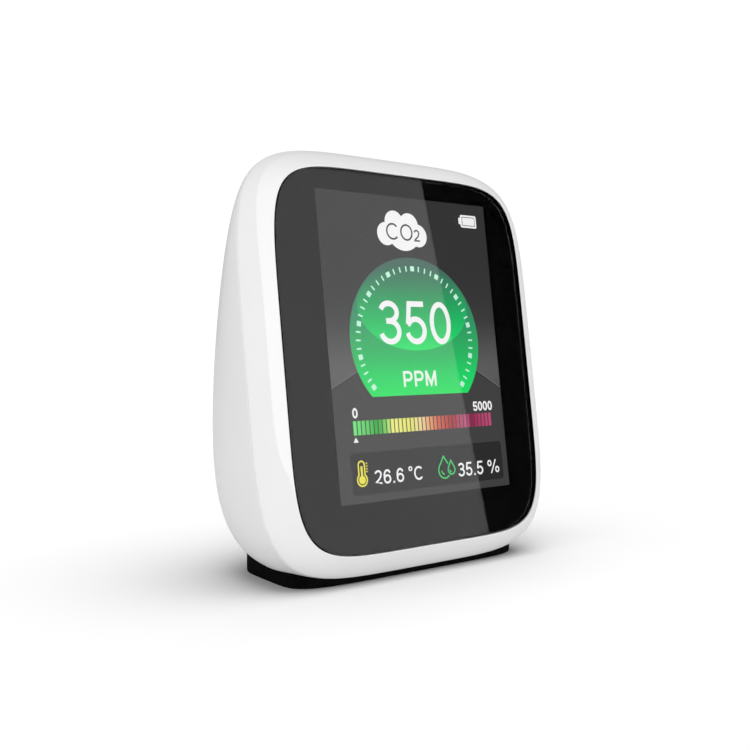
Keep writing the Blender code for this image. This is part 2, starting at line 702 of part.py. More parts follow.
def side_button(builder):
    """The power button in the right wall, and the switch behind it. Cap and plunger slide in along x."""
    inner_x, outer_x = BUTTON_FLANGE_X
    place = Vector((inner_x, BUTTON_CENTRE[0], -BUTTON_CENTRE[1]))
    steps = (
        (inner_x, BUTTON_FLANGE),
        (outer_x, BUTTON_FLANGE),
        (outer_x, BUTTON_SIZE),
        (BUTTON_TOP_X - BUTTON_EDGE, BUTTON_SIZE),
        (BUTTON_TOP_X, [size - 2 * BUTTON_EDGE for size in BUTTON_SIZE]),
    )
    rings = []
    for x, size in steps:
        rings.append([Vector((x - inner_x, y, -z)) for y, z in bar_outline(size)])
    builder.add("power_button", drawn_loft(rings), "button_grey", place)

    back, front = SWITCH_X
    depths = (BOARD_DEPTHS[1] + SEAT_GAP, BUTTON_CENTRE[1] + SWITCH_RISE)
    bm = bmesh.new()
    size = (front - back, SWITCH_WIDTH, depths[1] - depths[0])
    add_box(bm, size, ((back + front) / 2, BUTTON_CENTRE[0], -sum(depths) / 2), SWITCH_BEVEL)
    body = builder.add("switch_body", bm, "chip_black", smooth=False)
    start = front - PLUNGER_REACH
    hole = [size + 2 * PLUNGER_CLEARANCE for size in PLUNGER_SIZE]
    hole_x = (start - BUTTON_TRAVEL - PLUNGER_CLEARANCE, front + OVERLAP)
    hole = side_bar(rounded_rectangle(hole, PLUNGER_CORNER), BUTTON_CENTRE, hole_x)
    boolean(body, "DIFFERENCE", builder.add("switch_hole", hole))
    shape = rounded_rectangle(PLUNGER_SIZE, PLUNGER_CORNER)
    plunger = side_bar(shape, (0, 0), (0, inner_x - SEAT_GAP - start))
    place.x = start
    builder.add("switch_plunger", plunger, "connector_ivory", place, smooth=False)


# ---------------------------------------------------------------- screws


def screw(builder, name, centre, seat, length):
    """A pan head screw turned round its own axis, with its head towards the back."""
    radius, rise = SCREW_HEAD
    profile = [(0, length), (SCREW_SHANK * 0.6, length), (SCREW_SHANK, length - 0.5), (SCREW_SHANK, 0)]
    profile += [(radius, 0), (radius, -rise * 0.55), (radius * 0.7, -rise), (0, -rise)]
    bm = bmesh.new()
    verts = [bm.verts.new((x, 0, along)) for x, along in profile]
    for first, second in zip(verts, verts[1:]):
        bm.edges.new((first, second))
    turned = builder.add(name, bm, "screw_steel", (centre[0], centre[1], -(seat + SEAT_GAP)))
    modifier = turned.modifiers.new("turned", "SCREW")
    modifier.steps = SCREW_STEPS
    modifier.render_steps = SCREW_STEPS
    modifier.use_merge_vertices = True
    modifier.merge_threshold = 0.001 * MM


def screws(builder):
    for number, centre in enumerate(BOARD_SCREWS, 1):
        screw(builder, f"board_screw_{number}", centre, BOARD_DEPTHS[1], BOARD_SCREW_LENGTH)
    for number, centre in enumerate(CASE_SCREWS, 1):
        screw(builder, f"case_screw_{number}", centre, WELL_SEAT, CASE_SCREW_LENGTH)


def stand_on_floor(builder):
    """Puts the lowest point at z = 0 and the middle of the part's box over the origin."""
    bpy.context.view_layer.update()
    graph = bpy.context.evaluated_depsgraph_get()
    low = Vector((math.inf,) * 3)
    high = -low
    for obj in builder.parts.objects:
        if obj.type != "MESH":
            continue
        evaluated = obj.evaluated_get(graph)
        for vertex in evaluated.data.vertices:
            point = evaluated.matrix_world @ vertex.co
            low = Vector(map(min, low, point))
            high = Vector(map(max, high, point))
    middle = (low + high) / 2
    builder.face.location = (-middle.x, -middle.y, -low.z)


def main():
    clear_scene()
    builder = Builder()
    front_bezel(builder)
    rear_cover(builder)
    base_pad(builder)
    dust_mesh(builder)
    display(builder)
    main_board(builder)
    co2_sensor(builder)
    battery(builder)
    usb_socket(builder)
    side_button(builder)
    screws(builder)
    stand_on_floor(builder)


main()
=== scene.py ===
"""Looks of the desk air quality monitor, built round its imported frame.

Shapes are drawn in millimetres in the face frame: x points right, y up along the cover glass and z out of the
glass, so a depth behind the glass is -z. FACE turns them into the frame's metres.
"""

import json
import math

import bmesh
import bpy
from mathutils import Matrix, Vector


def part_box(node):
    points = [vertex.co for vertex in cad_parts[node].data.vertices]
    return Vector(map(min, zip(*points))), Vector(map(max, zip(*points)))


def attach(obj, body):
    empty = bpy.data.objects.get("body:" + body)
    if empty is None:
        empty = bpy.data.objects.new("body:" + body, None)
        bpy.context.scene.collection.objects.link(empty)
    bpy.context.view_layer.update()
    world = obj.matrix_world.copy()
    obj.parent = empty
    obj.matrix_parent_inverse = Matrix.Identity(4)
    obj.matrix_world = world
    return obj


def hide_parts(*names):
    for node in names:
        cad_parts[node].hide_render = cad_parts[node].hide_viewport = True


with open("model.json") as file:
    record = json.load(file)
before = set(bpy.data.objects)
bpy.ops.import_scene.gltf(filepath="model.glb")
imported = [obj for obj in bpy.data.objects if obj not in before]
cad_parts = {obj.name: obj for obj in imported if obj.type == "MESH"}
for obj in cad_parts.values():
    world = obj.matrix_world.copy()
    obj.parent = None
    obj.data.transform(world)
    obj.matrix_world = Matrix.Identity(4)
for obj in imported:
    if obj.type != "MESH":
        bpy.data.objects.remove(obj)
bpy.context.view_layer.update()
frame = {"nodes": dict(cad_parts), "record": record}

MM = 0.001
TILT = math.radians(7.83)
UPRIGHT = Matrix.Rotation(math.pi / 2 - TILT, 4, "X")
LEANING = UPRIGHT.inverted()

# Case surfaces, as in the part's own design.
GLASS_HALF = (30.85, 35.5)
GLASS_POWER = 6.4
GLASS_GAP = 0.15
GLASS_BACK = 1.1
GLASS_EDGE = 0.22
PRINT_FRONT = GLASS_BACK + 0.01
PRINT_BACK = GLASS_BACK + 0.04
CASE_HALF = (36.44, 39.75)
CASE_POWER = 5.05
RING_BULGE = 0.5
PARTING_DEPTH = 4.0
PARTING_GAP = 0.08
LIP_HALF = (35.0, 38.3)
LIP_TAPER = 0.15
LEDGE_FRONT = 1.8
LEDGE_BACK = 5.0
OPENING_HALF = (23.7, 32.9)
OPENING_CENTRE = (0.4, 0.9)
OPENING_POWER = 60
DOME_START = PARTING_DEPTH + 0.15
DOME_DEPTH = 28.0
DOME_SLOPE = 17.1
DOME_CURVE = 15.0
DOME_CREST = 10.0
CREST_WIDTH = 3
DOME_POWER_SIDE = 2.65
DOME_POWER_TOP = 3.0
DOME_POWER_BOTTOM = 2.95
WALL = 2.2
EDGE_DRAW = 0.997
CASE_FLOOR = -39.97

# Openings and fixings in the case.
BOARD_SCREWS = [(-28.3, 16.6), (28.3, 16.6), (-28.3, -16.6), (28.3, -16.6)]
BOSS_RADIUS = 2.3
BOSS_BACK = 5.95
CASE_SCREWS = [(-28.0, 24.5), (28.0, 24.5), (-28.0, -24.5), (28.0, -24.5)]
WELL_RADIUS = 2.7
WELL_BORE = 1.9
WELL_FRONT = 5.3
WELL_SEAT = 8.0
SCREW_LENGTH = 5.2
SCREW_HEAD = (1.6, 1.0, 0.35)
SCREW_THREAD = (0.78, 0.6, 0.45)
RECESS_ARM = (0.95, 0.17)
RECESS_DEPTH = 0.6
SHANK_BORE = 1.0
THREAD_DEPTH = 2.4
VENT_COUNT = 6
VENT_PITCH = 3.2
VENT_SIZE = (28.0, 1.5)
VENT_LOWEST = -1.0
VENT_START = WELL_SEAT + 8
BACK_FLARE = 0.22
SIDE_FLARE = 0.18
FLARE_STATIONS = ((-2.0, 0.0), (-1.0, 0.25), (0.0, 1.0), (1.0, 2.5))
SLOT_START_X = CASE_HALF[0] - 5.5
BEYOND_BACK = DOME_DEPTH + 14
BEYOND_SIDE = CASE_HALF[0] + 4
BUTTON_CENTRE = (8.0, 10.2)
BUTTON_SIZE = (7.6, 3.6)
BUTTON_FLANGE = (9.2, 4.8)
BUTTON_FLANGE_X = (31.3, 31.9)
BUTTON_TOP_X = 36.95
BUTTON_EDGE = 0.45
BUTTON_DISH = 0.16
BUTTON_CLEARANCE = 0.18
SOCKET_CENTRE = (-8.0, 8.85)
SOCKET_SIZE = (8.9, 3.2)
SOCKET_X = (28.6, 35.7)
SOCKET_WALL = 0.3
SOCKET_LIP = 0.1
SOCKET_FLOOR = 1.2
TONGUE_HALF = (3.1, 0.3)
TONGUE_BACK = 0.6
CONTACT_COUNT = 12
CONTACT_PITCH = 0.5
CONTACT_HALF = 0.13
SOCKET_CLEARANCE = 0.3

# Base pad. Its plan reaches out under the belly so that the near-black pad also stands in for the dark
# contact shadow there: partly a real pad, partly painted shade.
PAD_HALF = (29.0, 12.35)
PAD_POWER = 5.5
PAD_TAPER = 0.1
PAD_CENTRE_Y = 11.05
PAD_BELOW = 0.95
PAD_TALLEST = 8.0
PAD_GAP = 0.06
PAD_EDGE = 0.4

# Screen, seen through the glass. Its layers are thin sheets, one in front of the other from layer 0 on.
SCREEN_CENTRE = (1.02, 2.55)
SCREEN_SIZE = (43.2, 57.6)
SCREEN_SCALE = (1.007, 1.004)
SCREEN_DEPTH = 1.24
LAYER_STEP = 0.012
SHEET = 0.01
PIXEL = 0.18
PIXEL_SHARE = 0.86
PIXEL_LEVELS = (0.985, 1.005)
SAME_PLACE = 1e-4

NOISE_LOW, NOISE_HIGH = 0.3, 0.7
SHARP_ANGLE = math.radians(32.0)
OUTLINE_POINTS = 256
MODULE_CENTRE = (0.4, 1.7)
MODULE_MIDDLE = 2.05


# ---- the face frame


def place_of_face():
    """The face frame's place in the frame's metres, from the middle of the display module."""
    low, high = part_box("lcd_panel")
    middle = UPRIGHT @ Vector((*MODULE_CENTRE, -MODULE_MIDDLE)) * MM
    return Matrix.Translation((low + high) / 2 - middle) @ UPRIGHT @ Matrix.Scale(MM, 4)


FACE = place_of_face()


# ---- finishes


def new_node(tree, kind, inputs=None, **settings):
    """A new node. Its inputs, by name or number, are values or other nodes' outputs."""
    made = tree.nodes.new(kind)
    for name, value in settings.items():
        setattr(made, name, value)
    for name, value in (inputs or {}).items():
        if isinstance(value, bpy.types.NodeSocket):
            tree.links.new(value, made.inputs[name])
        else:
            made.inputs[name].default_value = value
    return made


def maths(tree, operation, first, second=0.0):
    return new_node(tree, "ShaderNodeMath", {0: first, 1: second}, operation=operation).outputs[0]


def scaled(colour, factor):
    return tuple(value * factor for value in colour)


class Finish:
    """A procedural material on one Principled shader. Its textures are laid out in face frame millimetres."""

    def __init__(self, name, **values):
        self.material = bpy.data.materials.new(name)
        self.material.use_nodes = True
        self.tree = self.material.node_tree
        self.shader = self.tree.nodes["Principled BSDF"]
        for socket, value in values.items():
            self.shader.inputs[socket.replace("_", " ")].default_value = value
        place, turn, scale = FACE.decompose()
        mapping = {
            "Vector": self.node("ShaderNodeTexCoord").outputs["Object"],
            "Location": place, "Rotation": turn.to_euler(), "Scale": scale,
        }
        self.place = self.node("ShaderNodeMapping", mapping, vector_type="TEXTURE").outputs["Vector"]
        self.normal = None

    def node(self, kind, inputs=None, **settings):
        return new_node(self.tree, kind, inputs, **settings)

    def link(self, output, socket):
        self.tree.links.new(output, self.shader.inputs[socket])

    def axis(self, name):
        return self.node("ShaderNodeSeparateXYZ", {0: self.place}).outputs[name]

    def noise(self, size, detail=2.0, stretch=(1.0, 1.0, 1.0)):
        """Noise of about NOISE_LOW to NOISE_HIGH. Its features have this size, divided by the stretch."""
        inputs = {0: self.place, 1: stretch}
        pressed = self.node("ShaderNodeVectorMath", inputs, operation="MULTIPLY").outputs[0]
        inputs = {"Vector": pressed, "Scale": 1 / size, "Detail": detail}
        return self.node("ShaderNodeTexNoise", inputs).outputs["Fac"]

    def cells(self, size):
        inputs = {"Vector": self.place, "Scale": 1 / size}
        return self.node("ShaderNodeTexVoronoi", inputs).outputs["Distance"]

    def stripes(self, axis, pitch, share):
        """1 on stripes that take this share of each pitch, and 0 between them."""
        phase = maths(self.tree, "FRACT", maths(self.tree, "DIVIDE", self.axis(axis), pitch))
        return maths(self.tree, "LESS_THAN", phase, share)

    def spread(self, source, low, high, start=NOISE_LOW, end=NOISE_HIGH):
        """Source stretched, so that start becomes low and end becomes high."""
        inputs = {"Value": source, "From Min": start, "From Max": end, "To Min": low, "To Max": high}
        return self.node("ShaderNodeMapRange", inputs).outputs["Result"]

    def roughen(self, source, low, high):
        self.link(self.spread(source, low, high), "Roughness")

    def tint(self, first, second, source, start=NOISE_LOW, end=NOISE_HIGH):
        """A base colour between two, by source."""
        self.link(self.ramp(source, [(start, first), (end, second)]), "Base Color")

    def ramp(self, source, stops):
        """Colours at places along source, with straight blends between them."""
        low, high = stops[0][0], stops[-1][0]
        made = self.node("ShaderNodeValToRGB", {"Fac": self.spread(source, 0.0, 1.0, low, high)})
        elements = made.color_ramp.elements
        for _ in stops[2:]:
            elements.new(0.5)
        for element, (place, colour) in zip(elements, stops):
            element.position = (place - low) / (high - low)
            element.color = (*colour, 1.0)
        return made.outputs["Color"]

    def bump(self, source, height):
        """Raises the surface by source times this height, on top of the bumps before it."""
        inputs = {"Distance": height * MM, "Height": source}
        if self.normal:
            inputs["Normal"] = self.normal
        self.normal = self.node("ShaderNodeBump", inputs).outputs["Normal"]
        self.link(self.normal, "Normal")

    def textured(self, first, second, tone, sheen, low, high, *bumps):
        """Tint, roughness and bumps from noises, each given as noise() asks. A bump's height comes last."""
        self.tint(first, second, self.noise(*tone))
        self.roughen(self.noise(*sheen), low, high)
        for *source, height in bumps:
            self.bump(self.noise(*source), height)
        return self.material


def tinted(name, first, second, tone, **values):
    """A smooth or plain surface whose colour changes a little."""
    finish = Finish(name, **values)
    finish.tint(first, second, finish.noise(*tone))
    return finish.material


def case_plastic(name, colour, roughness):
    """Moulded ABS: a fine spark texture, a very slight waviness and an uneven sheen."""
    finish = Finish(name, IOR=1.46)
    dull, tone, sheen = scaled(colour, 0.985), (9.0, 4.0), (0.5, 4.0)
    bumps = ((6.0, 1.0, 0.02), (0.16, 3.0, 0.006))
    return finish.textured(dull, colour, tone, sheen, roughness - 0.06, roughness + 0.06, *bumps)


def rubber():
    """Matte black rubber with a fine grain. Its near-black tone is partly painted shade: it also stands in
    for the dark contact shadow under the case.
    """
    finish = Finish("base_rubber_painted_shade", Specular_IOR_Level=0.04)
    finish.bump(finish.cells(0.25), 0.02)
    return finish.textured((0.001,) * 3, (0.003,) * 3, (1.4, 5.0), (0.6, 3.0), 0.78, 0.92)


def lit(name, stops, axis="Y"):
    """A part of the screen's picture: light whose colour changes along one axis, in a faint pixel grid."""
    finish = Finish(name, Base_Color=(0.0, 0.0, 0.0, 1.0), Specular_IOR_Level=0.0, Emission_Strength=1.0)
    centre = SCREEN_CENTRE["XY".index(axis)]
    colour = finish.ramp(maths(finish.tree, "SUBTRACT", finish.axis(axis), centre), stops)
    rows, columns = finish.stripes("X", PIXEL, PIXEL_SHARE), finish.stripes("Y", PIXEL, PIXEL_SHARE)
    grid = finish.spread(maths(finish.tree, "MULTIPLY", rows, columns), *PIXEL_LEVELS, 0.0, 1.0)
    dimmed = finish.node("ShaderNodeVectorMath", {0: colour, "Scale": grid}, operation="SCALE")
    finish.link(dimmed.outputs["Vector"], "Emission Color")
    return finish.material


def metal(name, colour, roughness, grain=(1.0, 14.0, 1.0)):
    """Rolled or turned metal with a fine directional grain."""
    finish = Finish(name, Metallic=1.0)
    tone, sheen, bump = (1.8, 4.0, grain), (0.5, 3.0, grain), (0.3, 2.0, grain, 0.003)
    return finish.textured(scaled(colour, 0.88), colour, tone, sheen, roughness - 0.06, roughness + 0.1, bump)


def moulded(name, colour, roughness, grain=0.2):
    """Plain moulded plastic or epoxy: a fine matte grain with slight changes of tone."""
    finish = Finish(name)
    tone, sheen, bump = (2.5, 4.0), (0.7, 3.0), (grain, 3.0, 0.006)
    return finish.textured(scaled(colour, 0.9), colour, tone, sheen, roughness - 0.07, roughness + 0.07, bump)


def circuit_board():
    """Green solder mask over copper tracks, which show as a lighter, slightly raised pattern."""
    finish = Finish("solder_mask", Coat_Weight=0.3, Coat_Roughness=0.15)
    inputs = {"Vector": finish.place, "Scale": 0.55, "Mortar Size": 0.035, "Mortar Smooth": 0.2}
    tracks = finish.node("ShaderNodeTexBrick", inputs, offset=0.37).outputs["Fac"]
    finish.tint((0.012, 0.12, 0.055), (0.03, 0.24, 0.11), tracks, 0.0, 1.0)
    finish.roughen(finish.noise(2.0, 3.0), 0.28, 0.45)
    finish.bump(tracks, 0.035)
    return finish.material


def woven(name, colour, pitch):
    """A woven screen or tape: crossing threads."""
    finish = Finish(name)
    threads = []
    for axis in ("X", "Y"):
        turn = maths(finish.tree, "MULTIPLY", finish.axis(axis), 2 * math.pi / pitch)
        threads.append(maths(finish.tree, "ABSOLUTE", maths(finish.tree, "SINE", turn)))
    weave = maths(finish.tree, "MAXIMUM", *threads)
    finish.tint(scaled(colour, 0.45), colour, weave, 0.1, 0.9)
    finish.roughen(finish.noise(0.8, 3.0), 0.8, 0.95)
    finish.bump(weave, 0.05)
    return finish.material


def foil():
    """The battery's laminated pouch: silver foil with soft creases."""
    finish = Finish("battery_foil", Metallic=0.9)
    dull, bright = (0.58, 0.59, 0.61), (0.7, 0.71, 0.73)
    return finish.textured(dull, bright, (7.0, 4.0), (1.2, 4.0), 0.28, 0.46, (5.0, 3.0, 0.15))


def flex():
    """Amber ribbon with its copper tracks."""
    finish = Finish("flex_ribbon")
    tracks = finish.stripes("X", 0.5, 0.6)
    finish.tint((0.5, 0.24, 0.05), (0.72, 0.42, 0.12), tracks, 0.0, 1.0)
    finish.roughen(finish.noise(1.0, 3.0), 0.28, 0.42)
    finish.bump(tracks, 0.01)
    return finish.material


def make_finishes():
    glass = {"Roughness": 0.0, "Transmission_Weight": 1.0, "IOR": 1.345}
    inks = ((0.003, 0.003, 0.0032), (0.0042, 0.0042, 0.0044))
    return {
        "case_white": case_plastic("case_plastic", (0.87, 0.87, 0.868), 0.45),
        "button_grey": case_plastic("button_plastic", (0.8, 0.8, 0.797), 0.4),
        "glass_black": tinted("cover_glass", (0.975, 0.978, 0.98), (1.0, 1.0, 1.0), (14.0,), **glass),
        "glass_print": tinted("glass_print", *inks, (3.0, 4.0), Roughness=0.6, Specular_IOR_Level=0.02),
        # The pad's near-black finish is partly painted shade, standing in for the contact shadow under the
        # case.
        "rubber_black": rubber(),
        "adhesive_black": moulded("adhesive", (0.02, 0.02, 0.02), 0.8),
        "panel_dark": moulded("panel", (0.03, 0.033, 0.036), 0.25),
        "frame_steel": metal("frame_metal", (0.6, 0.6, 0.61), 0.35),
        "flex_amber": flex(),
        "board_green": circuit_board(),
        "chip_black": moulded("epoxy", (0.02, 0.02, 0.022), 0.5, 0.1),
        "connector_ivory": moulded("connector", (0.78, 0.74, 0.62), 0.5),
        "socket_steel": metal("socket_metal", (0.62, 0.62, 0.63), 0.28, (1.0, 1.0, 12.0)),
        "sensor_gold": metal("sensor_metal", (0.83, 0.62, 0.28), 0.3),
        "filter_white": woven("filter_weave", (0.85, 0.85, 0.82), 0.32),
        "battery_silver": foil(),
        "wire_red": moulded("red_insulation", (0.6, 0.02, 0.02), 0.4),
        "wire_black": moulded("black_insulation", (0.015, 0.015, 0.015), 0.4),
        "screw_steel": metal("screw_metal", (0.5, 0.5, 0.51), 0.3, (6.0, 6.0, 1.0)),
        "contact_gold": metal("contact_metal", (0.86, 0.65, 0.3), 0.25, (12.0, 1.0, 1.0)),
    }


FINISHES = make_finishes()


def dress_cad_nodes():
    """Gives each CAD node the procedural finish of its record slot."""
    for node in frame["record"]["subparts"]:
        name, slot = node["node"], node["material_slot"]
        mesh = frame["nodes"][name].data
        mesh.materials.clear()
        mesh.materials.append(FINISHES.get(slot, FINISHES["panel_dark"]))


# ---- making pieces


def linked(name, data):
    """A new object in the scene."""
    made = bpy.data.objects.new(name, data)
    bpy.context.scene.collection.objects.link(made)
    return made


def add_piece(name, bm, slot, replaces=(), body="case", finish=None):
    """A piece from a closed shape in face frame millimetres, which may stand for CAD nodes."""
    bmesh.ops.recalc_face_normals(bm, faces=bm.faces)
    bm.transform(FACE)
    mesh = bpy.data.meshes.new(name)
    bm.to_mesh(mesh)
    bm.free()
    mesh.materials.append(finish or FINISHES[slot])
    mesh.shade_smooth()
    mesh.set_sharp_from_angle(angle=SHARP_ANGLE)
    piece = linked(name, mesh)
    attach(piece, body)
    if replaces:
        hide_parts(*replaces)


def combined(bm, other, operation):
    """Two closed shapes joined or cut, as a new shape."""
    shapes = []
    for shape in (bm, other):
        bmesh.ops.recalc_face_normals(shape, faces=shape.faces)
        mesh = bpy.data.meshes.new("shape")
        shape.to_mesh(mesh)
        shape.free()
        shapes.append(linked("shape", mesh))
    modifier = shapes[0].modifiers.new("combine", "BOOLEAN")
    modifier.operation = operation
    modifier.object = shapes[1]
    graph = bpy.context.evaluated_depsgraph_get()
    made = bmesh.new()
    made.from_mesh(shapes[0].evaluated_get(graph).data)
    for shape in shapes:
        bpy.data.objects.remove(shape, do_unlink=True)
    return made


def loft(bm, rings, closed=False):
    """Bridges rings of equal length and single points. An open loft gets caps, a closed one meets itself."""
    loops = [[bm.verts.new(point) for point in ring] for ring in rings]
    pairs = list(zip(loops, loops[1:]))
    if closed:
        pairs.append((loops[-1], loops[0]))
    for first, second in pairs:
        count = max(len(first), len(second))
        for i in range(count):
            j = (i + 1) % count
            corners = [first[i % len(first)], first[j % len(first)]]
            corners += [second[j % len(second)], second[i % len(second)]]
            bm.faces.new(dict.fromkeys(corners))
    if not closed:
        for loop in (loops[0], loops[-1]):
            if len(loop) > 2:
                bm.faces.new(loop)
    return bm


def mix(a, b, t):
    return a + (b - a) * t


def rounded(first, corner, last, steps=5):
    """Rings that round off the corner between two rings."""
    rings = []
    for step in range(steps + 1):
        t = step / steps
        rings.append([mix(mix(a, b, t), mix(b, c, t), t) for a, b, c in zip(first, corner, last)])
    return rings


# ---- case surfaces


def signed_power(value, power):
    return math.copysign(abs(value) ** power, value)


def even_angles(count):
    """Superellipse angles whose points lie evenly round the case."""
    found = []
    for i in range(count):
        turn = 2 * math.pi * (i + 0.5) / count
        x = signed_power(math.cos(turn) / CASE_HALF[0], CASE_POWER / 2)
        found.append(math.atan2(signed_power(math.sin(turn) / CASE_HALF[1], CASE_POWER / 2), x))
    return found


ANGLES = even_angles(OUTLINE_POINTS)


def superellipse(half, power, angle):
    x, y = signed_power(math.cos(angle), 2 / power), signed_power(math.sin(angle), 2 / power)
    return x * half[0], y * half[1]


def behind(points, centre, depth):
    """An outline about a centre on the face, at a depth behind the glass."""
    return [Vector((centre[0] + x, centre[1] + y, -depth)) for x, y in points]


def beside(points, centre, x):
    """An outline across x, about a height up the face and a depth."""
    return [Vector((x, centre[0] + y, -centre[1] - z)) for y, z in points]


def outline(half, power, depth, centre=(0.0, 0.0), grow=0.0):
    half = [size + grow for size in half]
    points = [superellipse(half, power, angle) for angle in ANGLES]
    return behind(points, centre, depth)


def drawn_in(ring, depth):
    """The ring at a depth, a little smaller, as the start or end of a rounded edge."""
    return [Vector((point.x * EDGE_DRAW, point.y * EDGE_DRAW, -depth)) for point in ring]


def ring_section(t, grow=0.0):
    """The front ring's outer outline, from the glass edge (0) to the parting line (1)."""
    w = t + RING_BULGE * t * (1 - t)
    half = [mix(GLASS_HALF[i] + GLASS_GAP, CASE_HALF[i], w) for i in range(2)]
    return outline(half, mix(GLASS_POWER, CASE_POWER, w), PARTING_DEPTH * t, grow=grow)


def above_floor(point, floor):
    upright = UPRIGHT @ point
    upright.z = max(upright.z, floor)
    return LEANING @ upright


def dome_shape(angle, v, reach, inset):
    """The rounding power and the full depth of the dome, before its rim rounds it off."""
    up, down = max(math.sin(angle), 0.0), max(-math.sin(angle), 0.0)
    crest = up**CREST_WIDTH
    power = mix(mix(DOME_POWER_SIDE, DOME_POWER_TOP, crest), DOME_POWER_BOTTOM, down * down)
    depth = DOME_DEPTH - inset - DOME_SLOPE * v - DOME_CURVE * v * v + DOME_CREST * crest * reach**2
    return power, depth


def dome_point(angle, turn, inset):
    """A point of the rear dome. Turn runs from 0 at the parting line to a quarter circle at the crown."""
    power = dome_shape(angle, 0.0, 0.0, inset)[0]
    shrink = max(math.cos(turn), 0.0) ** (2 / power)
    x, y = superellipse([size - inset for size in CASE_HALF], CASE_POWER, angle)
    v = y * shrink / (CASE_HALF[1] - inset)
    depth = dome_shape(angle, v, shrink, inset)[1]
    return Vector((x * shrink, y * shrink, -(DOME_START + depth * math.sin(turn) ** (2 / power))))


def dome_rings(inset, steps):
    """Rings of the rear dome from the parting line to a single point, cut flat along the case's floor."""
    rings = []
    for step in range(steps):
        turn = 0.5 * math.pi * (step / steps) ** 0.8
        ring = [dome_point(angle, turn, inset) for angle in ANGLES]
        rings.append([above_floor(point, CASE_FLOOR + inset) for point in ring])
    rings.append([dome_point(0.0, math.pi / 2, inset)])
    return rings


def dome_depth(x, y, inset=0.0):
    """How deep the dome's surface lies at a place on the face."""
    half = [size - inset for size in CASE_HALF]
    terms = [(abs(value) / size) ** CASE_POWER for value, size in zip((x, y), half)]
    reach = min(sum(terms) ** (1 / CASE_POWER), 0.9999)
    angle = math.copysign(math.atan2(terms[1] ** 0.5, terms[0] ** 0.5), y)
    power, depth = dome_shape(angle, y / half[1], reach, inset)
    return DOME_START + depth * (1 - reach**power) ** (1 / power)


def wall_x(y, depth):
    """Where the right wall's outside lies at a height up the face and a depth, found by halving."""
    near, far = 0.0, CASE_HALF[0]
    for _ in range(30):
        middle = (near + far) / 2
        if dome_depth(middle, y) > depth:
            near = middle
        else:
            far = middle
    return near


# ---- case


def arc(centre, radii, start, end, steps=16):
    """Points on an ellipse from one angle to another, in degrees."""
    points = []
    for step in range(steps + 1):
        angle = math.radians(mix(start, end, step / steps))
        points.append((centre[0] + radii[0] * math.cos(angle), centre[1] + radii[1] * math.sin(angle)))
    return points


def circle(radius, count=48):
    return arc((0, 0), (radius, radius), 0, 360, count)[:-1]


def rounded_rectangle(size, radius, steps=8):
    points = []
    for sx, sy, start in ((1, 1, 0), (-1, 1, 90), (-1, -1, 180), (1, -1, 270)):
        centre = (sx * (size[0] / 2 - radius), sy * (size[1] / 2 - radius))
        points += arc(centre, (radius, radius), start, start + 90, steps)
    return points


def round_bar(size, grow=0.0, steps=8):
    """A rectangle with fully rounded ends."""
    size = [value + 2 * grow for value in size]
    return rounded_rectangle(size, size[1] / 2 - 0.01, steps)


def grown(points, grow):
    """An outline round the origin with each point moved out along its own direction."""
    return [tuple(Vector(point) * (1 + grow / Vector(point).length)) for point in points]


def bars(points, centres, depths):
    """Straight bars along the depth axis."""
    bm = bmesh.new()
    for centre in centres:
        loft(bm, [behind(points, centre, depth) for depth in depths])
    return bm


def front_ring():
    mouth, shoulder = 0.26, 0.04
    back = PARTING_DEPTH - PARTING_GAP / 2
    last = back / PARTING_DEPTH
    bend_start = last - 0.035
    pocket = [size + GLASS_GAP for size in GLASS_HALF]
    rings = [outline(pocket, GLASS_POWER, LEDGE_FRONT)]
    rings += rounded(outline(pocket, GLASS_POWER, mouth), ring_section(0.0), ring_section(shoulder))
    rings += [ring_section(mix(shoulder, bend_start, step / 16)) for step in range(1, 16)]
    corner = ring_section(last)
    rings += rounded(ring_section(bend_start), corner, drawn_in(corner, back), 4)
    rings.append(outline(LIP_HALF, CASE_POWER, back))
    rings.append(outline(LIP_HALF, CASE_POWER, LEDGE_BACK, grow=-LIP_TAPER))
    for depth in (LEDGE_BACK, LEDGE_FRONT):
        rings.append(outline(OPENING_HALF, OPENING_POWER, depth, OPENING_CENTRE))
    ring = loft(bmesh.new(), rings, closed=True)
    ring = combined(ring, bars(circle(BOSS_RADIUS), BOARD_SCREWS, (LEDGE_BACK - 1, BOSS_BACK)), "UNION")
    holes = bars(circle(SHANK_BORE, 24), BOARD_SCREWS + CASE_SCREWS, (THREAD_DEPTH, BOSS_BACK + 1))
    ring = combined(ring, holes, "DIFFERENCE")
    add_piece("front_ring", ring, "case_white", ["front_bezel"])


def flared(points, flare, place):
    """A cutter's rings round the surface that it leaves, widening like a mouth."""
    rings = []
    for ahead, grow in FLARE_STATIONS:
        rings.append([place(*point, ahead * flare) for point in grown(points, grow * flare)])
    return rings


def flared_bar(bm, points, centre, start):
    """A cutter along the depth axis that leaves the back of the case."""
    def place(x, y, ahead):
        x, y = centre[0] + x, centre[1] + y
        return Vector((x, y, -max(dome_depth(x, y) + ahead, start + 0.1)))

    mouth = flared(points, BACK_FLARE, place)
    end = [Vector((point.x, point.y, -BEYOND_BACK)) for point in mouth[-1]]
    loft(bm, [behind(points, centre, start), *mouth, end])


def flared_slot(bm, points, centre):
    """A cutter along x that leaves the right wall."""
    def place(y, z, ahead):
        y, z = centre[0] + y, -centre[1] - z
        return Vector((wall_x(y, -z) + ahead, y, z))

    mouth = flared(points, SIDE_FLARE, place)
    end = [Vector((BEYOND_SIDE, point.y, point.z)) for point in mouth[-1]]
    loft(bm, [beside(points, centre, SLOT_START_X), *mouth, end])


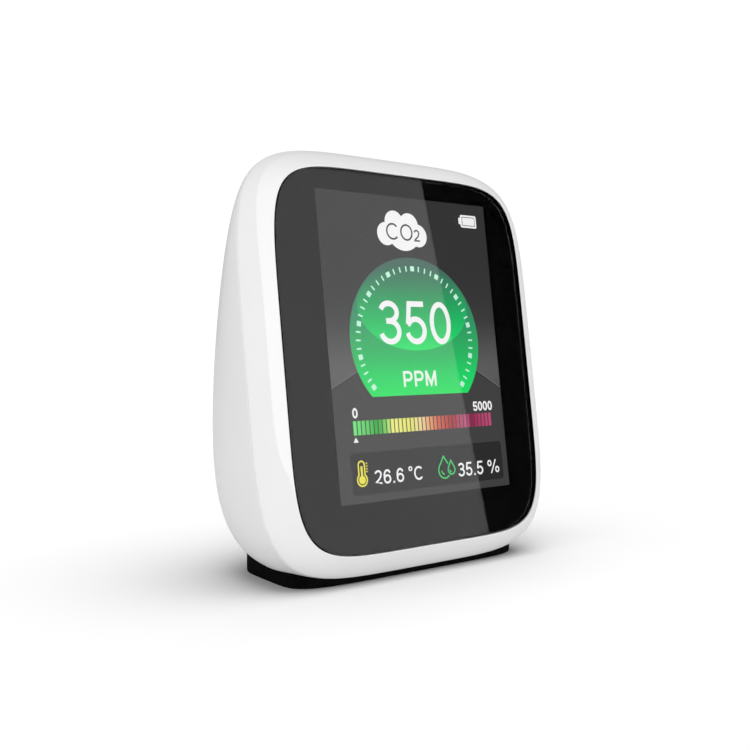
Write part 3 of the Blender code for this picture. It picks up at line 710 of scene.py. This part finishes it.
def rear_shell():
    start = PARTING_DEPTH + PARTING_GAP / 2
    outer = dome_rings(0.0, 72)
    inner = dome_rings(WALL, 28)
    edge = outer[0]
    corner = [Vector((point.x, point.y, -start)) for point in edge]
    below = [mix(a, b, 0.12) for a, b in zip(edge, outer[1])]
    inner_rim = [Vector((point.x, point.y, -start)) for point in inner[0]]
    rings = list(reversed(inner)) + [inner_rim] + rounded(drawn_in(edge, start), corner, below, 4) + outer[1:]
    shell = loft(bmesh.new(), rings)

    wells = bars(circle(WELL_RADIUS), CASE_SCREWS, (WELL_FRONT, DOME_DEPTH + 8))
    core = loft(bmesh.new(), dome_rings(WALL / 2, 24))
    shell = combined(shell, combined(wells, core, "INTERSECT"), "UNION")

    cutters = bmesh.new()
    for centre in CASE_SCREWS:
        flared_bar(cutters, circle(WELL_BORE), centre, WELL_SEAT)
    for row in range(VENT_COUNT):
        flared_bar(cutters, round_bar(VENT_SIZE), (0.0, VENT_LOWEST + row * VENT_PITCH), VENT_START)
    flared_slot(cutters, round_bar(BUTTON_SIZE, BUTTON_CLEARANCE), BUTTON_CENTRE)
    flared_slot(cutters, round_bar(SOCKET_SIZE, SOCKET_CLEARANCE), SOCKET_CENTRE)
    shell = combined(shell, cutters, "DIFFERENCE")
    shanks = bars(circle(SHANK_BORE, 24), CASE_SCREWS, (WELL_FRONT - 1, WELL_SEAT + 1))
    shell = combined(shell, shanks, "DIFFERENCE")
    add_piece("rear_shell", shell, "case_white", ["rear_cover"])


def pad_ring(grow, height):
    """The base pad's outline at a height over the case floor."""
    ring = []
    for angle in ANGLES:
        x, y = superellipse([size + grow for size in PAD_HALF], PAD_POWER, angle)
        x *= 1 - PAD_TAPER * (y + PAD_HALF[1]) / PAD_HALF[0]
        ring.append(LEANING @ Vector((x, PAD_CENTRE_Y + y, CASE_FLOOR + height)))
    return ring


def base_pad():
    bottom = -PAD_BELOW
    rings = rounded(pad_ring(-PAD_EDGE, bottom), pad_ring(0.0, bottom), pad_ring(0.0, bottom + PAD_EDGE), 4)
    rings.append(pad_ring(0.0, PAD_TALLEST))
    pad = loft(bmesh.new(), rings)
    envelope = [ring_section(step / 8, PAD_GAP) for step in range(8)]
    envelope += dome_rings(-PAD_GAP, 48)
    pad = combined(pad, loft(bmesh.new(), envelope), "DIFFERENCE")
    # The wide, near-black pad also stands in for the contact shadow under the case: painted shade.
    add_piece("rubber_base_painted_shade", pad, "rubber_black", ["base_pad"])


def cover_glass():
    def level(depth, grow=0.0):
        return outline(GLASS_HALF, GLASS_POWER, depth, grow=grow)

    # The first ring, just inside the edge, keeps the polished face's shading flat.
    rings = [level(0.0, -GLASS_EDGE - 0.05)]
    rings += rounded(level(0.0, -GLASS_EDGE), level(0.0), level(GLASS_EDGE)) + [level(GLASS_BACK)]
    add_piece("front_glass", loft(bmesh.new(), rings), "glass_black", ["cover_glass"])

    # The black print covers the back round the display and wraps up the glass's sides.
    window = [size * scale / 2 for size, scale in zip(SCREEN_SIZE, SCREEN_SCALE)]
    wrap = ((PRINT_FRONT, -0.05), (GLASS_EDGE, -0.05), (GLASS_EDGE, -0.02), (PRINT_BACK, -0.02))
    rings = [level(*place) for place in wrap]
    for depth in (PRINT_BACK, PRINT_FRONT):
        rings.append(outline(window, OPENING_POWER * 10, depth, SCREEN_CENTRE))
    black = loft(bmesh.new(), rings, closed=True)
    add_piece("glass_print", black, "adhesive_black", finish=FINISHES["glass_print"])


# ---- button, socket and screws


def side_rings(centre, stations):
    """Rings of a bar along x with round ends, from (x, size, growth) stations."""
    return [beside(round_bar(size, grow, 12), centre, x) for x, size, grow in stations]


def power_button():
    """The button's cap: a long rounded bar with a soft edge and a shallow dish for the fingertip."""
    stations = [(x, BUTTON_FLANGE, 0.0) for x in BUTTON_FLANGE_X] + [(BUTTON_FLANGE_X[1], BUTTON_SIZE, 0.0)]
    for step in range(7):
        angle = step * math.pi / 12
        x = BUTTON_TOP_X - BUTTON_EDGE * (1 - math.sin(angle))
        stations.append((x, BUTTON_SIZE, -BUTTON_EDGE * (1 - math.cos(angle))))
    for step in range(1, 7):
        inset = mix(BUTTON_EDGE, BUTTON_SIZE[1] / 2 - 0.1, step / 6)
        dish = BUTTON_DISH * math.sin(step * math.pi / 12) ** 2
        stations.append((BUTTON_TOP_X - dish, BUTTON_SIZE, -inset))
    cap = loft(bmesh.new(), side_rings(BUTTON_CENTRE, stations))
    add_piece("button_cap", cap, "button_grey", ["power_button"], "button")


def box(bm, low, high, bevel=0.0):
    low, high = Vector(low), Vector(high)
    place = Matrix.LocRotScale((low + high) / 2, None, high - low)
    made = bmesh.ops.create_cube(bm, size=1.0, matrix=place)["verts"]
    if bevel:
        edges = list({edge for vert in made for edge in vert.link_edges})
        bmesh.ops.bevel(bm, geom=edges, offset=bevel, segments=3, profile=0.5, affect="EDGES")
    return bm


def charging_socket():
    """A drawn steel shell with a floor, and a tongue with two rows of contacts."""
    wall, lip = SOCKET_WALL, SOCKET_LIP
    back_x, mouth_x = SOCKET_X
    floor_x = back_x + SOCKET_FLOOR
    stations = [(floor_x, -wall), (mouth_x - lip, -wall), (mouth_x, -wall + lip), (mouth_x, -lip)]
    stations += [(mouth_x - lip, 0.0), (back_x + 0.2, 0.0), (back_x, -0.2)]
    rings = side_rings(SOCKET_CENTRE, [(x, SOCKET_SIZE, grow) for x, grow in stations])
    add_piece("socket_shell", loft(bmesh.new(), rings), "socket_steel", ["usb_socket"])

    y, z = SOCKET_CENTRE[0], -SOCKET_CENTRE[1]
    wide, thick = TONGUE_HALF
    end_x = mouth_x - TONGUE_BACK
    tongue = box(bmesh.new(), (floor_x + 0.02, y - wide, z - thick), (end_x, y + wide, z + thick), 0.12)
    add_piece("socket_tongue", tongue, "chip_black")
    contacts = bmesh.new()
    for side in (-1, 1):
        near, far = sorted(z + side * (thick + lift) for lift in (0.005, 0.04))
        for i in range(CONTACT_COUNT):
            middle = y + (i - (CONTACT_COUNT - 1) / 2) * CONTACT_PITCH
            low = (floor_x + 1.0, middle - CONTACT_HALF, near)
            box(contacts, low, (end_x - 0.5, middle + CONTACT_HALF, far), 0.01)
    add_piece("socket_contacts", contacts, "sensor_gold", finish=FINISHES["contact_gold"])


def turned(profile):
    """A shape turned round the depth axis from (radius, height towards the front) points."""
    rings = []
    for radius, height in profile:
        places = circle(radius, 40) if radius else [(0, 0)]
        rings.append([Vector((x, y, height)) for x, y in places])
    return loft(bmesh.new(), rings)


def screw(name, centre, node):
    """A pan head screw with a cross recess and a threaded shank, its head towards the back."""
    head, rise, edge = SCREW_HEAD
    crest, root, pitch = SCREW_THREAD
    profile = [(0, SCREW_LENGTH), (root * 0.5, SCREW_LENGTH)]
    for i in range(int((SCREW_LENGTH - RECESS_DEPTH) / pitch)):
        top = SCREW_LENGTH - edge - i * pitch
        profile += [(root, top), (crest, top - pitch * 0.5), (root, top - pitch)]
    profile = [point for i, point in enumerate(profile) if not i or point != profile[i - 1]]
    profile += [(crest, 0.12), (crest, 0.0), (head - 0.1, 0.0), (head, -0.1), (head, -edge)]
    for step in range(1, 6):
        angle = step * math.pi / 12
        profile.append((head * math.cos(angle) ** 0.6, -edge - (rise - edge) * math.sin(angle)))
    body = turned(profile + [(0, -rise)])
    arms = []
    for (x, y), shift in ((RECESS_ARM, 0.0), (RECESS_ARM[::-1], 0.01)):
        arms.append(box(bmesh.new(), (-x, -y, -rise - 0.2 - shift), (x, y, -rise + RECESS_DEPTH - shift)))
    body = combined(body, combined(*arms, "UNION"), "DIFFERENCE")
    turn = Matrix.Rotation(math.radians(13 + 29 * centre[0] + 17 * centre[1]), 4, "Z")
    body.transform(Matrix.Translation((*centre, -WELL_SEAT - 0.05)) @ turn)
    add_piece(name, body, "screw_steel", [node])


def screws():
    for number, centre in enumerate(CASE_SCREWS, 1):
        screw(f"cover_screw_{number}", centre, f"case_screw_{number}")


# ---- flat shapes of the screen


def sheet(bm, loops, layer):
    """A thin closed sheet from outlines about the screen's middle. Inner outlines are holes."""
    depth = SCREEN_DEPTH - layer * LAYER_STEP
    edges = []
    for loop in loops:
        verts = []
        for place in loop:
            x, y = (c + s * p for c, s, p in zip(SCREEN_CENTRE, SCREEN_SCALE, place))
            verts.append(bm.verts.new((x, y, -depth)))
        edges += [bm.edges.new((a, b)) for a, b in zip(verts, verts[1:] + verts[:1])]
    filled = bmesh.ops.triangle_fill(bm, edges=edges, use_beauty=True)["geom"]
    faces = [item for item in filled if isinstance(item, bmesh.types.BMFace)]
    made = bmesh.ops.extrude_face_region(bm, geom=faces, use_keep_orig=True)["geom"]
    verts = [item for item in made if isinstance(item, bmesh.types.BMVert)]
    bmesh.ops.translate(bm, vec=(0, 0, SHEET), verts=verts)
    return bm


def bend(first, middle, last, steps=8):
    """Points on the curve from first to last that is drawn towards middle."""
    a, b, c = map(Vector, (first, middle, last))
    return [tuple(mix(mix(a, b, i / steps), mix(b, c, i / steps), i / steps)) for i in range(steps + 1)]


def offset_path(points, distance, closed):
    """The path moved sideways, with mitred corners."""
    count = len(points)
    moved = []
    for i, point in enumerate(points):
        before = points[i - 1] if closed or i else None
        after = points[(i + 1) % count] if closed or i < count - 1 else None
        sides = [(b - a).normalized() for a, b in ((before, point), (point, after)) if a and b]
        normals = [Vector((-side.y, side.x)) for side in sides]
        normal = sum(normals, Vector((0, 0))).normalized()
        moved.append(tuple(point + normal * distance / max(normal.dot(normals[0]), 0.35)))
    return moved


def stroke(bm, path, width, layer, closed=False):
    """A line of this width along a path. It also closes where the path's ends meet."""
    points = []
    for point in map(Vector, path):
        if not points or (point - points[-1]).length > SAME_PLACE:
            points.append(point)
    if (points[0] - points[-1]).length < SAME_PLACE:
        points.pop()
        closed = True
    left, right = (offset_path(points, side * width / 2, closed) for side in (1, -1))
    sheet(bm, [left, right] if closed else [left + right[::-1]], layer)


def scalloped(circles):
    """The outline round a ring of overlapping circles, given counter-clockwise."""
    crossings = []
    for (x0, y0, r0), (x1, y1, r1) in zip(circles, circles[1:] + circles[:1]):
        a, b = Vector((x0, y0)), Vector((x1, y1))
        apart = (b - a).length
        along = (apart**2 + r0**2 - r1**2) / (2 * apart)
        aside = math.sqrt(r0**2 - along**2)
        ahead = (b - a) / apart
        crossings.append(a + ahead * along + Vector((ahead.y, -ahead.x)) * aside)
    points = []
    for i, (x, y, radius) in enumerate(circles):
        first, last = crossings[i - 1], crossings[i]
        start = math.degrees(math.atan2(first.y - y, first.x - x))
        end = math.degrees(math.atan2(last.y - y, last.x - x))
        if end < start:
            end += 360
        points += arc((x, y), (radius, radius), start, end, 20)[:-1]
    return points


# ---- drawn figures

# Each figure gives its strokes and its advance, in heights. Half the line's width, in heights too, is h.


def oval(centre, width, height, h, start=0, end=360, steps=40):
    """The middle of a line that runs along the inside of an ellipse with this half width and half height."""
    return arc(centre, (width - h, height - h), start, end, steps)


def figure_two(h):
    top = arc((0.33, 0.715), (0.28 - h / 2, 0.285 - h), 168, -28)
    tail = bend(top[-1], (0.5, 0.43), (0.25, 0.25)) + bend((0.25, 0.25), (0.09, 0.13), (h + 0.01, h), 6)
    return [top + tail + [(0.63, h)]], 0.66


def figure_three(h):
    waist = 0.535
    top_radii = (0.30 - h, (1 - h - waist) / 2)
    low_radii = (0.33 - h, (waist - h) / 2)
    top = arc((0.325, waist + top_radii[1]), top_radii, 162, -90)
    low = arc((0.325, h + low_radii[1]), low_radii, 90, -166)
    return [top + [(0.23, waist)], [(0.23, waist)] + low], 0.66


def figure_five(h):
    bowl = oval((0.325, 0.325), 0.33, 0.325, h, 140, -166, 16)
    return [[(0.61, 1 - h), (0.17, 1 - h), (0.1, 0.47)], [(0.09, 0.45), (0.13, 0.485)] + bowl[1:]], 0.66


def figure_six(h):
    stem = oval((0.345, 0.56), 0.34, 0.44, h, 28, 180, 16) + [(h + 0.005, 0.33)]
    return [oval((0.335, 0.325), 0.33, 0.325, h, steps=32), stem], 0.66


def letter_p(h):
    radius = (1 - 2 * h - 0.42 + h) / 2
    bowl = arc((0.48, 1 - h - radius), (0.3 - h, radius), 90, -90)
    return [[(h, 0), (h, 1)], [(h, 1 - h)] + bowl + [(h, 1 - h - 2 * radius)]], 0.78


def letter_m(h):
    left, right, shoulder = h, 0.94 - h, 1 - 0.4 * h
    middle = [(left, shoulder), (0.47, 0.12), (right, shoulder)]
    return [[(left, 0), (left, 1)], [(right, 0), (right, 1)], middle], 0.94


def percent(h):
    rings = [oval(centre, 0.22, 0.24, h, steps=24) for centre in ((0.23, 0.75), (1.0, 0.25))]
    return rings + [[(0.88, 1.0), (0.36, 0.0)]], 1.24


FIGURES = {
    "0": lambda h: ([oval((0.33, 0.5), 0.33, 0.5, h)], 0.66),
    "2": figure_two, "3": figure_three, "5": figure_five, "6": figure_six,
    "C": lambda h: ([oval((0.45, 0.5), 0.45, 0.5, h, 42, 318, 32)], 0.84),
    "O": lambda h: ([oval((0.48, 0.5), 0.48, 0.5, h)], 0.96),
    "P": letter_p, "M": letter_m, "%": percent,
    "°": lambda h: ([oval((0.17, 0.83), 0.17, 0.17, h, steps=24)], 0.36),
    ".": lambda h: ([[(0.05, h), (0.05 + 2 * h, h)]], 0.1 + 2 * h),
}


def write(bm, layer, text, corner, height, width, gap=0.0, squeeze=1.0):
    """Draws figures from a lower left corner. Width is the line's, and gap is added between figures."""
    x = corner[0]
    for figure in text:
        paths, advance = FIGURES[figure](width / height / 2)
        for path in paths:
            placed = [(x + px * height * squeeze, corner[1] + py * height) for px, py in path]
            stroke(bm, placed, width, layer)
        x += advance * height * squeeze + gap


# ---- screen

WHITE = (0.93, 0.93, 0.93)
PALE_GREEN = (0.82, 0.95, 0.84)
TICK_GREEN = (0.55, 0.93, 0.74)
INK = (0.06, 0.06, 0.065)
GREY_LINE = (0.12, 0.12, 0.12)
PANEL_GREY = (0.028, 0.028, 0.029)
FLOOR_GREY = (0.057, 0.057, 0.057)
YELLOW = (0.86, 0.78, 0.08)
DROP_GREEN = (0.06, 0.66, 0.17)
GAUGE_CENTRE = (0.02, 1.0)
GAUGE_RADII = (16.38, 16.0)
GAUGE_CHORD = -9.65
TICK_RADII = (14.35, 14.06)
TICK_SWEEP = 128.0
TICK_STEPS = 40
TICK_CENTRE = (-0.11, 0.78)
TICK_LEAN = 0.032
LONG_TICK = (0.5, 1.0)
SHORT_TICK = (0.54, 0.32)
LENS_CENTRE = (0.02, 7.2)
LENS_RADII = (14.0, 8.3)
FIGURE_PITCH = 6.5
BATTERY_CENTRE = (16.87, 25.3)
SCALE_RANGE = (-17.3, 18.3)
SCALE_Y = (-16.5, -13.9)
SCALE_SEGMENTS = 36
SCALE_SHARE = 0.75
PANEL_CENTRE = (0.8, -23.55)
BULB_CENTRE = (-16.25, -24.6)


def screen_piece(name, bm, stops, axis="Y"):
    add_piece(name, bm, "panel_dark", finish=lit(name + "_light", stops, axis))


def even(colour):
    """A colour that falls off slightly towards the bottom of the screen, as a backlight does."""
    half = SCREEN_SIZE[1] / 2
    return [(-half, scaled(colour, 0.97)), (half, colour)]


def screen_shape(name, layer, colour, outline_points):
    screen_piece(name, sheet(bmesh.new(), [outline_points], layer), even(colour))


def screen_text(name, layer, colour, *lines):
    """One piece of lettering. Each line gives what write() asks for after the layer."""
    bm = bmesh.new()
    for line in lines:
        write(bm, layer, *line)
    screen_piece(name, bm, even(colour))


def rectangle(x, y):
    return [(x[0], y[0]), (x[1], y[0]), (x[1], y[1]), (x[0], y[1])]


def backdrop():
    x, y = (size / 2 for size in SCREEN_SIZE)
    sky = sheet(bmesh.new(), [rectangle((-x, x), (-y, y))], 0)
    tones = ((-9.0, 0.086), (-7.0, 0.108), (-4.8, 0.112), (-2.4, 0.100), (0.0, 0.083), (2.4, 0.065),
             (5.0, 0.049), (9.0, 0.041), (14.0, 0.038), (28.8, 0.037))
    screen_piece("screen_sky", sky, [(height, (tone,) * 3) for height, tone in tones])
    floor = [(-x, -y), (x, -y), (x, -9.1), (8.0, -1.25), (-8.0, -1.8), (-x, -8.05)]
    screen_shape("screen_floor", 1, FLOOR_GREY, floor)
    for name, rise, tone in (("screen_edge_dark", 0.05, 0.02), ("screen_edge_light", 0.22, 0.19)):
        line = bmesh.new()
        for ends in (floor[2:4], floor[4:6]):
            stroke(line, [(x, y + rise) for x, y in ends], 0.16, 2)
        screen_piece(name, line, even((tone,) * 3))


def gauge():
    low = math.degrees(math.asin((GAUGE_CHORD - GAUGE_CENTRE[1]) / GAUGE_RADII[1]))
    disc = sheet(bmesh.new(), [arc(GAUGE_CENTRE, GAUGE_RADII, low, 180 - low, 96)], 3)
    greens = [(-9.6, (0.02, 0.76, 0.13)), (-6.0, (0.018, 0.66, 0.14)), (-2.4, (0.026, 0.50, 0.13)),
              (1.2, (0.034, 0.40, 0.132)), (4.8, (0.038, 0.305, 0.135)), (9.0, (0.046, 0.235, 0.13)),
              (13.0, (0.054, 0.18, 0.118)), (16.9, (0.068, 0.137, 0.115))]
    screen_piece("gauge_disc", disc, greens)
    lens = sheet(bmesh.new(), [arc(LENS_CENTRE, LENS_RADII, 0, 360, 96)], 4)
    glow = [(-1.1, (0.03, 0.80, 0.165)), (2.4, (0.02, 0.61, 0.15)), (4.8, (0.02, 0.50, 0.135)),
            (8.4, (0.025, 0.36, 0.122)), (12.0, (0.045, 0.24, 0.12)), (15.5, (0.055, 0.15, 0.108))]
    screen_piece("gauge_lens", lens, glow)

    ticks = bmesh.new()
    for step in range(TICK_STEPS + 1):
        reach, width = SHORT_TICK if step % 4 else LONG_TICK
        angle = math.radians(90 - mix(-TICK_SWEEP, TICK_SWEEP, step / TICK_STEPS))
        out = Vector((math.cos(angle), math.sin(angle)))
        middle = Vector(TICK_CENTRE) + out * Vector(TICK_RADII)
        middle.x += TICK_LEAN * (middle.y - TICK_CENTRE[1])
        stroke(ticks, [tuple(middle - out * reach), tuple(middle + out * reach)], width, 5)
    screen_piece("gauge_ticks", ticks, even(TICK_GREEN))

    reading = [(figure, (-9.3 + FIGURE_PITCH * i, 0.08), 8.4, 1.08) for i, figure in enumerate("350")]
    screen_text("reading_figures", 6, WHITE, *reading)
    screen_text("reading_unit", 6, PALE_GREEN, ("PPM", (-4.38, -8.0), 3.0, 0.52, 0.48))


def top_icons():
    cloud = [(2.7, 21.45, 2.25), (0.5, 23.4, 2.4), (-3.2, 23.7, 2.35), (-5.4, 21.4, 2.25), (-1.0, 22.9, 4.6)]
    screen_shape("cloud_icon", 2, WHITE, scalloped(cloud))
    carbon, oxygen = ("C", (-5.42, 20.3), 3.3, 0.36, 0, 1.12), ("O", (-1.85, 20.3), 3.3, 0.36)
    screen_text("cloud_formula", 3, INK, carbon, oxygen, ("2", (1.58, 20.3), 2.35, 0.31))

    def block(size, radius, across=0.0):
        x, y = BATTERY_CENTRE
        return [(x + across + px, y + py) for px, py in rounded_rectangle(size, radius, 4)]

    battery = sheet(bmesh.new(), [block((4.45, 2.6), 0.35)], 2)
    sheet(battery, [block((0.7, 1.35), 0.2, -2.4)], 2)
    screen_piece("battery_icon", battery, even(WHITE))
    screen_shape("battery_outline", 3, GREY_LINE, block((3.65, 1.85), 0.2))
    screen_shape("battery_charge", 4, WHITE, block((3.35, 1.55), 0.15))


def scale():
    low, high = SCALE_RANGE
    pitch = (high - low) / SCALE_SEGMENTS
    bars = bmesh.new()
    for i in range(SCALE_SEGMENTS):
        start = low + i * pitch
        sheet(bars, [rectangle((start, start + pitch * SCALE_SHARE), SCALE_Y)], 2)
    hues = [
        (0, (0.17, 0.78, 0.2)), (3.5, (0.1, 0.6, 0.13)), (5, (0.03, 0.42, 0.045)), (6.5, (0.05, 0.46, 0.06)),
        (8, (0.3, 0.7, 0.15)), (9.5, (0.88, 0.88, 0.22)), (14, (0.8, 0.78, 0.16)), (16, (0.85, 0.72, 0.3)),
        (17.5, (0.85, 0.55, 0.28)), (19, (0.8, 0.33, 0.14)), (21, (0.66, 0.14, 0.09)),
        (25, (0.42, 0.035, 0.035)), (26.5, (0.5, 0.07, 0.14)), (29, (0.52, 0.09, 0.22)),
        (30.3, (0.3, 0.02, 0.07)), (32, (0.42, 0.04, 0.13)), (36, (0.55, 0.08, 0.2)),
    ]
    screen_piece("scale_bar", bars, [(low + i * pitch, colour) for i, colour in hues], "X")
    ends = [("0", (-17.3, -13.4), 1.9, 0.36), ("5000", (13.3, -13.4), 1.9, 0.36, 0.12)]
    screen_text("scale_ends", 2, WHITE, *ends)
    screen_shape("scale_pointer", 2, WHITE, [(-17.55, -17.8), (-16.35, -17.8), (-16.95, -16.85)])


def drop_outline(centre, radius, tip):
    """A round belly with straight shoulders up to a tip."""
    lean = math.degrees(math.acos(radius / tip))
    return [(centre[0], centre[1] + tip)] + arc(centre, (radius, radius), 90 + lean, 450 - lean, 28)


def droplet(name, layer, centre, radius, tip):
    """A drop's outline with a short glint inside."""
    bm, glint, width = bmesh.new(), radius * 0.5, 0.27
    stroke(bm, drop_outline(centre, radius, tip), width, layer, closed=True)
    stroke(bm, arc(centre, (glint, glint), 185, 265, 8), width, layer)
    screen_piece(name, bm, even(DROP_GREEN))


def readouts():
    panel = [(PANEL_CENTRE[0] + x, PANEL_CENTRE[1] + y) for x, y in rounded_rectangle((38.8, 7.6), 0.7, 5)]
    screen_shape("readout_panel", 2, PANEL_GREY, panel)

    x, y = BULB_CENTRE
    bulb, tube, top = 1.12, 0.7, 2.7
    reach = math.degrees(math.asin(tube / bulb))
    path = arc((x, y), (bulb, bulb), 90 + reach, 450 - reach, 24)
    path += arc((x, y + top), (tube, tube), 0, 180, 12)
    thermometer = bmesh.new()
    stroke(thermometer, path, 0.3, 3, closed=True)
    sheet(thermometer, [arc((x, y), (0.76, 0.76), 0, 360, 24)[:-1]], 3)
    stroke(thermometer, [(x, y), (x, y + top - 0.2)], 0.46, 3)
    for i in range(4):
        height = y + 1.45 + 0.5 * i
        stroke(thermometer, [(x + 1.05, height), (x + 1.4, height)], 0.2, 3)
    screen_piece("thermometer_icon", thermometer, even(YELLOW))

    small, radius, tip = (5.9, -24.45), 0.9, 1.75
    droplet("large_drop_icon", 3, (4.08, -24.45), 1.53, 2.68)
    screen_shape("drop_clearing", 4, PANEL_GREY, drop_outline(small, radius + 0.38, tip + 0.8))
    droplet("small_drop_icon", 5, small, radius, tip)

    values = [("26.6", (-13.4, -25.75), 2.65, 0.38, 0.33, 1.03), ("°", (-5.12, -25.75), 2.75, 0.26, 0, 1.1)]
    values += [("C", (-3.78, -25.75), 2.65, 0.38), ("35.5", (7.65, -26.05), 2.7, 0.38, 0.3)]
    screen_text("readout_values", 3, WHITE, *values, ("%", (15.8, -26.05), 2.7, 0.32))


# ---- studio

CAMERA_FROM_DISPLAY = (-0.1340, -0.1492, 0.00114)
CAMERA_TURN = (math.radians(88.0), 0.0, math.radians(-39.57))
DISPLAY_CENTRE = (0.4, 2.5, 0.0)
FLOOR_SHADE = 0.2
CARD_CORNERS = ((0.4384, -0.4304, -0.04), (0.59, 0.1, -0.04), (0.59, 0.1, 0.6), (0.4154, -0.4091, 0.6))
ROOM_LIGHT = {"front": 1.46, "left": 1.36, "back": 0.14, "right": 0.56, "above": 0.55, "below": 0.25}
ROOM_SIDES = {
    "front": (0, -1, 0), "left": (-1, 0, 0), "back": (0, 1, 0),
    "right": (1, 0, 0), "above": (0, 0, 1), "below": (0, 0, -1),
}
CAMERA_LEVEL = 1.05
LENS, SENSOR_WIDTH, CLIP_START = 50, 36, 0.01
FLOOR_REACH = 4.0
FLOOR_LIGHT_ANGLE = math.radians(72.0)
FLOOR_LIGHTS = (((0.17, -0.08, 0.8), 11.2), ((-0.8, -0.15, 0.8), 4.5))


def add_camera():
    data = bpy.data.cameras.new("camera")
    data.lens, data.sensor_width, data.clip_start = LENS, SENSOR_WIDTH, CLIP_START
    camera = linked("camera", data)
    camera.location = FACE @ Vector(DISPLAY_CENTRE) + Vector(CAMERA_FROM_DISPLAY)
    camera.rotation_euler = CAMERA_TURN
    bpy.context.scene.camera = camera


def stage_sheet(name, corners, material):
    mesh = bpy.data.meshes.new(name)
    mesh.from_pydata(corners, [], [range(len(corners))])
    mesh.materials.append(material)
    sheet_object = linked(name, mesh)
    return sheet_object


def light_floor(ground):
    """Broad overhead light that reaches only the floor, so that the object's soft shadow shows on it."""
    receivers = bpy.data.collections.new("lit_by_floor_light")
    receivers.objects.link(ground)
    for start, power in FLOOR_LIGHTS:
        data = bpy.data.lights.new("floor_light", "SUN")
        data.angle = FLOOR_LIGHT_ANGLE
        data.energy = power
        light = linked("floor_light", data)
        light.rotation_euler = Vector(start).to_track_quat("Z", "Y").to_euler()
        light.light_linking.receiver_collection = receivers


def add_stage():
    chalk = {"Roughness": 1.0, "Specular_IOR_Level": 0.0}
    floor = tinted("studio_floor", (FLOOR_SHADE * 0.99,) * 3, (FLOOR_SHADE,) * 3, (60.0, 3.0), **chalk)
    reach = (-FLOOR_REACH, FLOOR_REACH)
    ground = stage_sheet("studio_floor", [(x, y, 0.0) for x, y in rectangle(reach, reach)], floor)
    ground.visible_diffuse = False
    light_floor(ground)

    # A dark card to the right of the camera, seen only as a reflection, above all in the glass.
    black = tinted("dark_card", (0.0, 0.0, 0.0), (0.001, 0.001, 0.001), (40.0,), **chalk)
    centre = FACE @ Vector(DISPLAY_CENTRE)
    card = stage_sheet("dark_card", [centre + Vector(corner) for corner in CARD_CORNERS], black)
    card.visible_camera = card.visible_diffuse = card.visible_shadow = False


def add_light():
    """A softly glowing room with its own level on each of its six sides. The camera sees plain white."""
    world = bpy.data.worlds.new("studio")
    world.use_nodes = True
    bpy.context.scene.world = world
    tree = world.node_tree
    background = tree.nodes["Background"]
    background.inputs["Color"].default_value = (1.0, 1.0, 1.0, 1.0)
    direction = new_node(tree, "ShaderNodeTexCoord").outputs["Generated"]
    room = 0.0
    for side, level in ROOM_LIGHT.items():
        inputs = {0: direction, 1: ROOM_SIDES[side]}
        facing = new_node(tree, "ShaderNodeVectorMath", inputs, operation="DOT_PRODUCT").outputs["Value"]
        share = maths(tree, "POWER", maths(tree, "MAXIMUM", facing), 2.0)
        room = maths(tree, "ADD", room, maths(tree, "MULTIPLY", share, level))
    seen = new_node(tree, "ShaderNodeLightPath").outputs["Is Camera Ray"]
    strength = new_node(tree, "ShaderNodeMix", {"Factor": seen, "A": room, "B": CAMERA_LEVEL})
    tree.links.new(strength.outputs["Result"], background.inputs["Strength"])


for work in (
    add_camera, add_light, add_stage, dress_cad_nodes, front_ring, rear_shell, base_pad, cover_glass,
    power_button, charging_socket, screws, backdrop, gauge, top_icons, scale, readouts,
):
    work()
bpy.context.scene.view_settings.view_transform = "Standard"
